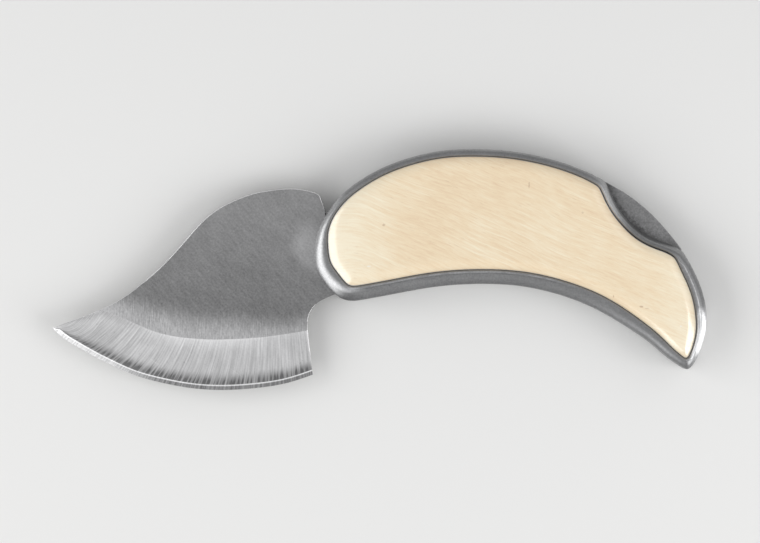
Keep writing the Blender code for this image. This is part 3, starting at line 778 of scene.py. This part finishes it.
def pale_wood(name):
    """Pale close-grained wood under a thin clear finish, with a painted sheen at its ends, two painted
    glints and a painted shade line along its edge by the pocket.
    """
    finish, shader = new_finish(name)
    tree = Wiring(finish.node_tree)
    grain = tree.effect("wood_grain", {"Place": tree.place()})
    tone = tree.summed(0.55, (grain["Rings"], 0.48, 0.5), (grain["Fibres"], 1.10, 0.5),
                       (grain["Patches"], 0.44, 0.5), (grain["Ring Lines"], 0.22, 0.1),
                       (grain["Painted End Sheen"], 0.30))
    tones = tree.node("ValToRGB", {"Fac": tone})
    dark_end, pale_end = tones.color_ramp.elements
    dark_end.position = 0.15
    dark_end.color = (0.810, 0.598, 0.380, 1)
    pale_end.color = (0.985, 0.885, 0.672, 1)
    tones.color_ramp.elements.new(0.5).color = (0.905, 0.732, 0.492, 1)
    dark = flecked(tree, tree.summed(0.0, (grain["Pores"], 0.25)), dark_flecks)
    colour = tree.mixed(tree.math("MINIMUM", dark, 0.8), tones.outputs["Color"], (0.46, 0.29, 0.17, 1))
    colour = tree.mixed(flecked(tree, 0.0, painted_glints), colour, (0.97, 0.93, 0.84, 1))
    # The scale's edge by the pocket is painted grey, a painted shade line in the seam beside the steel.
    colour = tree.mixed(tree.faded(tree.marked("crown_share"), 0.0, 0.06), colour, (0.42, 0.42, 0.44, 1))
    rough = tree.summed(0.42, (grain["Fibres"], 0.12, 0.5), (grain["Pores"], 0.15))
    height = tree.summed(0.0, (grain["Fibres"], 0.5, 0.5), (grain["Pores"], -0.8))
    tree.dress(shader, colour, rough, height, 0.2)
    shader.inputs["Coat Weight"].default_value = 1.0
    shader.inputs["Coat Roughness"].default_value = 0.16
    shader.inputs["Coat IOR"].default_value = 2.1
    return finish


wood_finish = pale_wood("pale_birch")
inlay_loop = softened(inlay_edge, corner_softness)
scale_rings = [(inlay_loop, pocket_floor + inlay_seat_gap)]
toward_nose = np.clip((nose_crown_end - inlay_loop[:, 0]) / nose_crown_blend, 0, 1)
crown_widths = rolled(crown_width + nose_crown * toward_nose, round(crown_blend / line_step))
crown_shares = np.linspace(0, 1, crown_steps + 1)
for share in crown_shares:
    insets = crown_widths * share
    ring = inlay_loop
    if share:
        ring = softened_ring(ring_inside(inlay_loop, insets), max(insets.min() / 2, line_step))
    scale_rings.append((ring, half_knife - crown_drop * (1 - share) ** crown_power))
inlay_ribs = ribs_of(inlay_loop, scale_rings[-1][0])
levels = [(ring[inlay_ribs], height) for ring, height in scale_rings]
for name, node, side in (("front_wood_scale", "front_inlay", 1), ("rear_wood_scale", "rear_inlay", -1)):
    scale = stacked(name, levels, wood_finish, side, {"crown_share": [0, *crown_shares]})
    evenly_shaded(scale, sharp_turn)
    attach(scale, "handle")
    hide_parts(node)


# Blade: one plate of satin steel, hollow ground in a wide band to a fine second bevel, with its corners
# broken. Its tang has an open and a closed notch for the lock bar's tooth, and turns on the pivot pin.
pivot = np.zeros(2)
rocker = np.array((0.033852, 0.025298))
blade_reach = 0.08020095
blade_height = 0.0525
half_blade = 0.00125
half_tip = 0.0002
half_edge = 0.00007
half_shoulder = 0.00042
micro_bevel = 0.0013
hollow_power = 1.35
grind_rows = 12
column_length = 0.0006
fold_angle = 157.0
corner_break = 0.00036
side_break_share = 0.35
unbroken_from = 0.0785
same_place = 0.000001
darkest_tooth = 0.50
blade_sharp_turn = 25.0
cutting_share = 0.85
edge_hair = 0.00003
shoulder_softness = 0.00035
notch_radius = 0.0070
cam_radius = 0.0086
kick_radius = 0.0096
tooth_tip_radius = 0.00885
tooth_width = 0.0038
tooth_side_gap = 0.00012
lock_face_gap = 0.0004
lock_drop_angle = 2.2
kick_ease_angle = 8.0
spine_shares = ((-1.0, -0.328), (-0.940, -0.293), (-0.863, -0.250), (-0.811, -0.213), (-0.758, -0.165),
                (-0.707, -0.105), (-0.655, -0.035), (-0.603, 0.047), (-0.551, 0.138), (-0.499, 0.221),
                (-0.448, 0.276), (-0.395, 0.314), (-0.344, 0.341), (-0.292, 0.356), (-0.240, 0.364),
                (-0.188, 0.360), (-0.145, 0.344))
shoulder_shares = ((-0.131, 0.332), (-0.1102, 0.2427))
edge_shares = ((-1.0, -0.328), (-0.966, -0.375), (-0.914, -0.425), (-0.863, -0.469), (-0.811, -0.509),
               (-0.733, -0.562), (-0.655, -0.596), (-0.551, -0.626), (-0.448, -0.636), (-0.344, -0.627),
               (-0.240, -0.602), (-0.154, -0.560))
grind_shares = ((-0.843, -0.2355), (-0.777, -0.274), (-0.727, -0.307), (-0.666, -0.345), (-0.603, -0.368),
                (-0.541, -0.379), (-0.479, -0.384), (-0.418, -0.382), (-0.355, -0.377), (-0.293, -0.368),
                (-0.231, -0.354), (-0.170, -0.339))
choil_shares = ((-0.170, -0.339), (-0.169, -0.278), (-0.161, -0.243), (-0.136, -0.200), (-0.110, -0.178),
                (-0.083, -0.161))


def turned_by(points, centre, degrees):
    angle = math.radians(degrees)
    matrix = np.array(((math.cos(angle), math.sin(angle)), (-math.sin(angle), math.cos(angle))))
    return (np.array(points) - centre) @ matrix + centre


def polar(radius, degrees):
    return radius * np.array((math.cos(math.radians(degrees)), math.sin(math.radians(degrees))))


def angle_of(point):
    return math.degrees(math.atan2(point[1], point[0]))


def arc(radius, start, end):
    steps = max(2, round(abs(math.radians(end - start)) * radius / line_step))
    return np.array([polar(radius, angle) for angle in np.linspace(start, end, steps)])


def meets_circle(point, direction, radius):
    """First place ahead where a line from the point meets a circle round the pivot."""
    along = point @ direction
    root = math.sqrt(along ** 2 - point @ point + radius ** 2)
    return point + direction * min(step for step in (-along - root, -along + root) if step > 0)


def softened_line(line):
    """Open line with its corners rounded off and its ends kept."""
    length = run_of(line)[-1]
    line = at_runs(line, np.linspace(0, length, round(length / line_step)))
    reach = round(shoulder_softness / line_step)
    soft = line.copy()
    for i in range(reach, len(line) - reach):
        soft[i] = line[i - reach:i + reach + 1].mean(axis=0)
    return soft


def fewer(line):
    """The points of a fine open line that the mesh keeps."""
    return line[kept_points(line, rib_turn, rib_length)]


def blade_place(shares):
    return placed(shares, blade_reach, blade_height)


shoulder_top, shoulder_low = blade_place(shoulder_shares)
shoulder_down = unit_rows(shoulder_low - shoulder_top)
face_point = shoulder_low + left_of(shoulder_down) * lock_face_gap
tooth_front = meets_circle(face_point, shoulder_down, tooth_tip_radius)
tooth_rear = polar(tooth_tip_radius, angle_of(tooth_front) - math.degrees(tooth_width / tooth_tip_radius))
tooth_up = -left_of(unit_rows(tooth_rear - rocker))


def notch(rear_radius, front_wall=None):
    """Notch of the tang round the dropped tooth, from its front wall over its floor to its rear wall."""
    front, rear = turned_by((tooth_front, tooth_rear), rocker, lock_drop_angle)
    rear_up = turned_by(tooth_up, pivot, lock_drop_angle)
    front_up = turned_by(-shoulder_down, pivot, lock_drop_angle)
    rear_wall = rear - left_of(rear_up) * tooth_side_gap + rear_up * tooth_width
    rear_base = meets_circle(rear_wall, -rear_up, notch_radius)
    rear_top = meets_circle(rear_base, rear_up, rear_radius)
    if front_wall is None:
        front_top = meets_circle(front + left_of(front_up) * lock_face_gap, front_up, cam_radius)
        front_wall = front_top, meets_circle(front_top, -front_up, notch_radius)
    floor_arc = arc(notch_radius, angle_of(front_wall[1]), angle_of(rear_base))
    return [front_wall[0][None], fewer(floor_arc), rear_top[None]]


def tang_line():
    """Rear end of the blade, from the choil: kick, closed notch, cam, and open notch up to the shoulder."""
    shoulder_base = meets_circle(shoulder_low, shoulder_down, notch_radius)
    open_notch = [part[::-1] for part in notch(cam_radius, (shoulder_low, shoulder_base))[::-1]]
    closed_notch = [turned_by(part[::-1], pivot, -fold_angle) for part in notch(kick_radius)[::-1]]
    choil = curve_through(blade_place(choil_shares))
    kick = arc(kick_radius, angle_of(choil[-1]) + kick_ease_angle, angle_of(closed_notch[0][0]))
    cam = arc(cam_radius, angle_of(closed_notch[-1][-1]), angle_of(open_notch[0][0]))
    lines = fewer(choil)[1:], fewer(kick)[:-1], *closed_notch, fewer(cam)[1:-1], *open_notch[:-1]
    return np.vstack(lines)


def evened(line, spacing):
    length = run_of(line)[-1]
    return at_runs(line, np.linspace(0, length, round(length / spacing) + 1))


spine = curve_through(blade_place(spine_shares))
grind = curve_through(blade_place(grind_shares))
edge = curve_through(blade_place(edge_shares)) + (0, edge_hair)
flat_start = nearest(spine, grind[0])
swedge = evened(spine[:flat_start + 1], column_length)
lands = np.vstack((swedge[:-1], evened(grind, column_length)))
flat_from = len(swedge) - 1
land_runs = run_of(lands)
edges = at_runs(edge, land_runs / land_runs[-1] * run_of(edge)[-1])
spine_rest = fewer(softened_line(np.vstack((spine[flat_start:], shoulder_top, shoulder_low))))


def bevel_section(land, cut, land_half):
    """Places and half thicknesses across the bevel: hollow grind, then the thin second bevel."""
    width = np.linalg.norm(cut - land)
    hollow = 1 - min(micro_bevel, width / 2) / width
    shoulder_half = min(half_shoulder, land_half)
    steps = np.arange(grind_rows + 1) / grind_rows
    halves = shoulder_half + (land_half - shoulder_half) * (1 - steps) ** hollow_power
    rows = np.append(steps * hollow, 1)
    return land + (cut - land) * rows[:, None], np.append(halves, half_edge)


def pin_drill(pin, gap, place, finish):
    """A drill through the whole knife for a pin with this gap round it."""
    hole = pin_sizes[pin][0] + gap
    profile = ((0, -half_knife), (hole, -half_knife), (hole, half_knife), (0, half_knife))
    return turned(pin + "_drill", profile, place, finish)


def make_blade(finish):
    """The blade's mesh. Its bevel keeps the run along it and the share across it for the grinding lines."""
    solid = bmesh.new()
    run_layer = solid.verts.layers.float.new("grind_run")
    share_layer = solid.verts.layers.float.new("grind_share")
    sides = []
    for side in (1, -1):
        columns = []
        for k, (land, cut) in enumerate(zip(lands, edges)):
            land_half = half_tip + (half_blade - half_tip) * min(k / flat_from, 1)
            places, halves = bevel_section(land, cut, land_half) if k else (cut[None], [half_edge])
            column = []
            for row, (place, half) in enumerate(zip(places, halves)):
                vert = solid.verts.new((*place, half_knife + side * half))
                vert[run_layer] = land_runs[k]
                vert[share_layer] = row / (grind_rows + 1) if k else 1
                column.append(vert)
            columns.append(column)
        sides.append(columns)
        for near, far in zip(columns, columns[1:]):
            for row in range(len(far) - 1):
                near_pair = [near[0]] if len(near) == 1 else [near[row + 1], near[row]]
                solid.faces.new([far[row], far[row + 1]] + near_pair)
    for k in range(1, len(lands)):
        before_one, before_two, one, two = sides[0][k - 1], sides[1][k - 1], sides[0][k], sides[1][k]
        solid.faces.new((before_one[-1], one[-1], two[-1], before_two[-1]))
        if k <= flat_from:
            solid.faces.new((before_one[0], one[0], two[0], before_two[0]))
    solid.faces.new(sides[0][-1] + sides[1][-1][::-1])
    outline = apart(np.vstack((tang_line(), spine_rest[::-1][:-1])))
    chains = []
    for columns, side in zip(sides, (1, -1)):
        free = [solid.verts.new((*place, half_knife + side * half_blade)) for place in outline]
        chains.append([columns[-1][0]] + free + [columns[flat_from][0]])
        solid.faces.new(chains[-1] + [column[0] for column in columns[flat_from + 1:-1]])
    for i in range(len(outline) + 1):
        solid.faces.new((chains[0][i], chains[0][i + 1], chains[1][i + 1], chains[1][i]))
    solid.normal_update()
    ease_layer = solid.edges.layers.float.new("bevel_weight_edge")
    for line in solid.edges:
        thickness = 2 * min(abs(vert.co.z - half_knife) for vert in line.verts)
        cutting = min(vert[share_layer] for vert in line.verts) > cutting_share
        turn = line.calc_face_angle(0)
        middle = (line.verts[0].co + line.verts[1].co).xy / 2
        outer = cam_radius + notch_radius < middle.length < unbroken_from
        if turn > math.radians(sharp_turn) and not cutting and outer:
            on_spine = middle.y > np.interp(middle.x, (-blade_reach, 0), (grind[0][1], shoulder_low[1]))
            line[ease_layer] = min(1, thickness / half_blade) * (1 if on_spine else side_break_share)
    blade = new_piece("ulu_blade", solid, finish)
    drilled(blade, [pin_drill("pivot_pin", 2 * pin_gap, pivot, finish)])
    return blade


def eased(piece, width, segments, **limit):
    """Break a piece's sharp edges."""
    ease = piece.modifiers.new("ease", "BEVEL")
    ease.width = width
    ease.segments = segments
    for name, value in limit.items():
        setattr(ease, name, value)
    weld = piece.modifiers.new("weld", "WELD")
    weld.merge_threshold = same_place
    settled(piece)


# Grinding marks: streaks across the bevel, from the run along it and the share across it. They lean
# towards the butt, most at the tip, and darken in short teeth just above the second bevel, over a soft
# band of painted shade. The group also gives painted highlights: a line along the land, a line at the
# second bevel's shoulder, and the second bevel near the tip.
group = Group("grinding_marks_and_painted_light", {"Run": 0.0, "Share": 0.0, "Lean": 0.0098},
              ["Fine", "Broad", "Teeth And Painted Shade", "Painted Land Highlight", "Painted Shoulder Highlight", "Second Bevel", "Painted Tip Highlight", "From Tip",
               "Soft Start"])
run = group["Run"]
share = group["Share"]
lean = group.graded(run, 0.010, 0.066, group["Lean"], 0.0, "LINEAR")
streak = group.plus(run, group.times(lean, share))
broad = group.drawn_noise((streak, share), (800.0, 0.5), 2.0, 0.6)
ripple = group.math("SINE", group.summed(0.0, (streak, 7200.0), (broad, 9.0, 0.5)))
fine = group.drawn_noise((streak, share), (2500.0, 1.2), 2.0, 0.6)
comb = group.summed(group.drawn_noise((streak, share), (2000.0, 0.4), 1.0, 0.6), (ripple, 0.07))
toothed = group.graded(group.summed(share, (broad, 0.09, 0.5)), 0.64, 0.92)
from_tip = group.graded(run, 0.004, 0.046)
# The land line, the shoulder line and the tip are painted highlights; the band under the teeth is painted
# shade.
land_highlight = group.summed(0.0, (group.faded(share, 0.01, 0.06), 0.35),
                         (group.faded(share, 0.01, 0.30), 0.65))
second = group.graded(share, 0.934, 0.948)
group["Fine"] = group.summed(fine, (ripple, 0.045))
group["Broad"] = broad
group["Teeth And Painted Shade"] = group.times(toothed, group.faded(share, 0.915, 0.925),
                             group.graded(run, 0.006, 0.026, 0.72, 1.0),
                             group.graded(comb, 0.36, 0.62, 0.45, 1.10))
group["From Tip"] = from_tip
group["Soft Start"] = group.times(group.faded(share, 0.0, 0.22), group.faded(run, 0.016, 0.034))
group["Painted Land Highlight"] = group.times(land_highlight, group.graded(run, 0.050, 0.064, 1.0, 0.15), from_tip)
group["Painted Shoulder Highlight"] = group.band(share, 0.915, 0.925, 0.934, 0.948)
group["Second Bevel"] = second
group["Painted Tip Highlight"] = group.times(second, group.faded(run, 0.014, 0.034))

# Blade clouds: the flats get hazy with upright scratches above the grind, darker below the middle, and
# paler in a patch beside the handle's nose.
group = Group("blade_clouds",
              {"Place": None, "Grind Centre": (-0.03435, 0.05108, 0.0), "Grind Radius": 0.07143,
               "Patch Centre": (-0.0138, 0.0030, 0.0), "Patch Side": (0.69, 0.72, 0.0)},
              ["Haze", "Scratches", "Fall", "Patch", "Mottle", "Grain"])
place = group["Place"]
along, across, _ = group.axes(place)
flat_place = group.vector("MULTIPLY", place, (1.0, 1.0, 0.0))
upright = group.vector("MULTIPLY", place, (2400.0, 260.0, 0.0))
radius = group.vector("DISTANCE", flat_place, group["Grind Centre"], "Value")
above = group.summed(group.minus(group["Grind Radius"], radius),
                     (group.noise(upright, 1.0, 3.0, 0.6), 0.0060, 0.5),
                     (group.graded(along, -0.034, -0.016), 0.0030))
haze = group.faded(above, 0.0010, 0.0082)
group["Haze"] = haze
group["Scratches"] = group.times(haze, group.minus(group.noise(upright, 1.6, 2.0, 0.7), 0.5))
group["Fall"] = group.graded(across, -0.012, 0.018)
offset = group.vector("SUBTRACT", flat_place, group["Patch Centre"])
spread = group.vector("LENGTH", group.vector("MULTIPLY", offset, (170.0, 105.0, 0.0)), output="Value")
spread = group.summed(spread, (group.noise(place, 300.0, 3.0), 0.5, 0.5))
beside = group.vector("DOT_PRODUCT", flat_place, group["Patch Side"], "Value")
group["Patch"] = group.times(group.faded(spread, 0.15, 1.1), group.graded(beside, -0.0122, -0.0092))
group["Mottle"] = group.noise(place, 1900.0, 3.0, 0.7)
brushed = {"Place": place, "Turn": 0.85, "Length": 330.0, "Fineness": 1500.0}
group["Grain"] = group.effect("brushed_lines", brushed)["Lines"]

# Edge highlight: a mask where a surface leans between a flat, which faces up or down, and an edge's wall.
# Where it is used it paints a highlight along the broken corners.
group = Group("edge_highlight_mask", {}, ["Corner"])
upward = group.math("ABSOLUTE", group.axes(group.node("NewGeometry").outputs["Normal"])["Z"])
group["Corner"] = group.times(group.graded(upward, 0.99, 0.94), group.graded(upward, 0.1, 0.3))


def blade_steel(name):
    """Satin flats that turn hazy towards the grind, with a painted highlight on their broken corners, and a
    paler ground bevel with its streaks. The bevel's paleness is partly the ground steel and partly a
    painted reflection of the lamps; it has painted highlights along the land, at the second bevel's
    shoulder and near the tip, and painted shade towards the edge.
    """
    finish, shader, tree = new_steel(name)
    share = tree.marked("grind_share")
    clouds = tree.effect("blade_clouds", {"Place": tree.place()})
    marks = tree.effect("grinding_marks_and_painted_light", {"Run": tree.marked("grind_run"), "Share": share})
    corner = tree.effect("edge_highlight_mask")["Corner"]
    # The flats' corner term is a painted highlight along the broken corners.
    flat = tree.summed(0.86, (clouds["Fall"], 0.28), (clouds["Haze"], 0.98), (clouds["Scratches"], 1.80),
                       (clouds["Patch"], 0.50), (clouds["Mottle"], 0.85, 0.5), (clouds["Grain"], 0.50, 0.5),
                       (corner, 1.5))
    # The bevel is painted paler than the flats, partly as ground steel and partly as a painted reflection;
    # the share term paints it darker towards the edge, a painted shade of the hollow grind.
    bevel = tree.summed(1.60, (marks["From Tip"], 0.30), (marks["Fine"], 1.65, 0.5),
                        (marks["Broad"], 0.05, 0.5), (share, -0.20, 0.4), (marks["Teeth And Painted Shade"], -1.50),
                        (marks["Painted Land Highlight"], 0.62),
                        (marks["Painted Shoulder Highlight"], 0.7), (marks["Second Bevel"], -0.96), (marks["Painted Tip Highlight"], 0.96),
                        (marks["Soft Start"], -0.45))
    ground = tree.graded(share, 0.001, 0.006)
    bright = tree.plus(tree.times(tree.minus(1.0, ground), flat),
                       tree.times(ground, tree.math("MAXIMUM", bevel, darkest_tooth)))
    streaks = tree.times(ground, tree.summed(0.0, (marks["Fine"], 3.0, 0.5), (marks["Broad"], 0.5, 0.5)))
    rough = tree.summed(0.34, (ground, 0.06))
    steel_skin(tree, shader, bright, rough, 0.08, 0.9, (0.390, 0.390, 0.392), streaks)
    return finish


blade_finish = blade_steel("ground_blade_steel")
blade = make_blade(blade_finish)
eased(blade, corner_break, 2, limit_method="WEIGHT", use_clamp_overlap=False)
evenly_shaded(blade, blade_sharp_turn)
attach(blade, "blade")
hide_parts("blade")


# Lock bar: a rocking bar of darker steel along the back, on its own pin. Its front tooth drops in the
# tang's notch, and its tail, which the thumb presses, shows in the scoop.
half_bar = 0.0015
edge_gap = 0.0001
bar_ease = 0.00035
rocker_boss_radius = 0.0031
bar_sharp_turn = 35.0
bar_blend = 0.0060
relief_radius = 0.0116
relief_angle = 24.0
bar_depth_shares = (0.0, 0.10, 0.22, 0.45, 0.62, 0.80, 0.91)
bar_depths = (0.0054, 0.0073, 0.0073, 0.0064, 0.0045, 0.0045, 0.0056)


# Mottled steel: coarse dark and light specks, painted shade on the bar beside the scoop's foot where the
# frame's rim shades it, and a painted shadow line in the crease along that foot.
group = Group("mottle_and_painted_shade",
              {"Place": None, "Scoop Centre": (0.08688, 0.02702, 0.0), "Scoop Radius": 0.0234},
              ["Specks", "Painted Shade", "Painted Crease Shadow"])
specks = group.noise(group["Place"], 1300.0, 3.0, 0.65)
flat_place = group.vector("MULTIPLY", group["Place"], (1.0, 1.0, 0.0))
radius = group.vector("DISTANCE", flat_place, group["Scoop Centre"], "Value")
away = group.summed(group.minus(group["Scoop Radius"], radius), (specks, 0.0016, 0.5))
group["Specks"] = specks
group["Painted Shade"] = group.faded(away, 0.0003, 0.0034)
group["Painted Crease Shadow"] = group.times(group.faded(away, 0.0004, 0.0013),
                              group.faded(group.axes(group["Place"])["X"], 0.073, 0.081))


def bar_steel(name):
    """Darker steel, mottled, with painted shade beside the scoop and painted highlights along its edges."""
    finish, shader, tree = new_steel(name)
    specks_and_shade = tree.effect("mottle_and_painted_shade", {"Place": tree.place()})
    corner = tree.effect("edge_highlight_mask")["Corner"]
    # Painted shade beside the scoop, a painted shadow in its crease and a painted highlight on the corners.
    bright = tree.summed(1.0, (specks_and_shade["Specks"], 0.75, 0.5), (specks_and_shade["Painted Shade"], -0.20),
                         (specks_and_shade["Painted Crease Shadow"], -0.30), (corner, 0.5))
    steel_skin(tree, shader, bright, 0.42, 0.24, -0.6, (0.310, 0.310, 0.312), specks_and_shade["Specks"])
    return finish


def bar_edges():
    """Back edge of the bar from its nose to its tail, and its under edge from the tail to the neck."""
    past_face = (nose_line - face_point) @ left_of(shoulder_down) > 0
    above_face = nose_line[:, 1] > face_point[1] - lock_face_gap
    start = int(np.argmax(past_face & above_face))
    down = -left_of(unit_rows(np.gradient(nose_line, axis=0)))[start:]
    back = nose_line[start:] + down * edge_gap
    count = round(len(back) * bar_depth_shares[-1])
    depths = np.interp(np.arange(count) / len(back), bar_depth_shares, bar_depths)
    reach = round(bar_blend / line_step)
    blend = np.ones(2 * reach + 1) / (2 * reach + 1)
    depths = np.convolve(np.pad(depths, reach, mode="edge"), blend, mode="valid")
    return back, back[::-1][:count] + down[::-1][:count] * depths[:, None]


def flat_piece(name, loop, half, finish):
    """Flat piece about the knife's middle, from its fine outline."""
    loop = anticlockwise(loop)
    loop = ended(loop)[kept_points(ended(loop), rib_turn, rib_length)][:-1]
    return stacked(name, [(loop, -half), (loop, half)], finish)


def make_bar(finish):
    back, under = bar_edges()
    arms = under - rocker
    inside = np.linalg.norm(arms, axis=1) < rocker_boss_radius
    under[inside] = rocker + unit_rows(arms[inside]) * rocker_boss_radius
    relief_end = meets_circle(tooth_rear, tooth_up, relief_radius)
    relief = arc(relief_radius, angle_of(relief_end) - relief_angle, angle_of(relief_end))
    tooth = arc(tooth_tip_radius, angle_of(tooth_rear), angle_of(tooth_front))
    outline = softened(joined(back, under, relief, tooth), line_step)
    bar = flat_piece("rocking_lock_bar", outline, half_bar, finish)
    drilled(bar, [pin_drill("rocker_pin", 2 * pin_gap, rocker, finish)])
    return bar


bar_finish = bar_steel("dark_bar_steel")
bar = make_bar(bar_finish)
eased(bar, bar_ease, 3, limit_method="ANGLE", angle_limit=math.radians(sharp_turn))
evenly_shaded(bar, bar_sharp_turn)
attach(bar, "lock_bar")
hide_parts("lock_bar")


# Lock spring and butt spacer: a leaf of spring steel under the bar's tail, its root held in a slot of the
# steel block that keeps the frames apart at the butt.
half_spring = 0.00055
spring_tip_gap = 0.0001
spring_tail_gap = 0.0027
spring_side_gap = 0.0001
spring_face_gap = 0.00005
spring_ease = 0.00012
spring_root_depth = 0.0027
spring_run_shares = (0.06, 0.37)
spring_bend_share = 0.6
spring_points = 5
spring_root_share = 0.32
spacer_top_share = 0.195
blade_tip_gap = 0.0008


# Worn edges: outer corners rubbed brighter, broken up along their length.
group = Group("worn_edges", {"Place": None, "Reach": 0.06, "Breaks": 500.0}, ["Wear"])
corner = group.minus(group.node("NewGeometry").outputs["Pointiness"], 0.5)
corner = group.math("DIVIDE", corner, group["Reach"], clamp=True)
broken = group.graded(group.noise(group["Place"], group["Breaks"], 3.0), 0.3, 0.6, 0.35, 1.0)
group["Wear"] = group.times(corner, broken)


def satin_steel(name, tint, rough, turn):
    """Plain satin steel with brighter rubbed corners."""
    finish, shader, tree = new_steel(name)
    wear = tree.effect("worn_edges", {"Place": tree.place()})["Wear"]
    steel_skin(tree, shader, tree.summed(1.0, (wear, 0.45)), rough, 0.20, turn, tint)
    return finish


def spring_line():
    """Middle line of the leaf spring, from its free tip under the bar to its root in the spacer."""
    _, under = bar_edges()
    near, far = [round(len(under) * share) for share in spring_run_shares]
    under = under[near:far]
    down = left_of(unit_rows(np.gradient(under, axis=0)))
    gaps = spring_tip_gap + (spring_tail_gap - spring_tip_gap) * np.linspace(1, 0, len(under)) ** 2
    leaf = (under + down * (gaps + half_spring)[:, None])[::-1]
    leaf = leaf[np.linspace(0, len(leaf) - 1, spring_points).astype(int)]
    index = round(spring_root_share * (len(butt_line) - 1))
    down_butt = unit_rows(butt_line[index + 1] - butt_line[index - 1])
    root = butt_line[index] - left_of(down_butt) * spring_root_depth
    bend = leaf[-1] + (root - leaf[-1]) * spring_bend_share
    return curve_through(np.vstack((leaf, bend, root)))


def strip_loop(line, half_width):
    aside = left_of(unit_rows(np.gradient(line, axis=0))) * half_width
    return anticlockwise(np.vstack((line + aside, (line - aside)[::-1])))


def make_spacer(finish):
    clear = np.linalg.norm(blade_place(spine_shares[0])) + blade_tip_gap
    top = butt_line[round(spacer_top_share * len(butt_line))][1]
    rim_line = handle_loop + inward(handle_loop) * edge_gap
    kept = (np.linalg.norm(rim_line, axis=1) > clear) & (rim_line[:, 1] < top)
    first = int(np.argmin(kept))
    rim_line, kept = np.roll(rim_line, -first, axis=0), np.roll(kept, -first)
    sweep = arc(clear, angle_of(rim_line[kept][-1]), angle_of(rim_line[kept][0]))
    outline = softened(joined(rim_line[kept], sweep[sweep[:, 1] < top]), line_step)
    spacer = flat_piece("butt_block", outline, half_bar, finish)
    line = spring_line()
    line[-1] += unit_rows(line[-1] - line[-2]) * spring_side_gap
    slot = strip_loop(line, half_spring + spring_side_gap)
    cutters = [flat_piece("slot_cutter", slot, half_slot, finish)]
    for pin in ("butt_upper_pin", "butt_lower_pin"):
        cutters.append(pin_drill(pin, pin_gap, middle_of(pin), finish))
    drilled(spacer, cutters)
    return spacer


leaf_line = spring_line()
spring = flat_piece("leaf_spring", strip_loop(leaf_line, half_spring), half_bar - spring_face_gap,
                    satin_steel("spring_steel", (0.33, 0.33, 0.335), 0.34, -0.9))
spacer = make_spacer(satin_steel("spacer_steel", (0.34, 0.342, 0.345), 0.38, 0.1))
for piece, node, slot in ((spring, "lock_spring", "spring_steel"), (spacer, "butt_spacer", "frame_steel")):
    eased(piece, spring_ease, 2, limit_method="ANGLE", angle_limit=math.radians(sharp_turn))
    evenly_shaded(piece, bar_sharp_turn)
    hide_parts(node)
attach(spacer, "handle")
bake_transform(spring)


# Pins and washers: turned steel pins peened into the frames under the scales, and thin bronze washers on
# the pivot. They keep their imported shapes, which are round and plain.
pin_finish = satin_steel("turned_pin_steel", (0.40, 0.40, 0.405), 0.30, 0.0)
washer_finish = satin_steel("washer_bronze", (0.50, 0.33, 0.15), 0.34, 0.4)
for pin in pin_sizes:
    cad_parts[pin].data.materials[0] = pin_finish
for washer in ("front_washer", "rear_washer"):
    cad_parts[washer].data.materials[0] = washer_finish
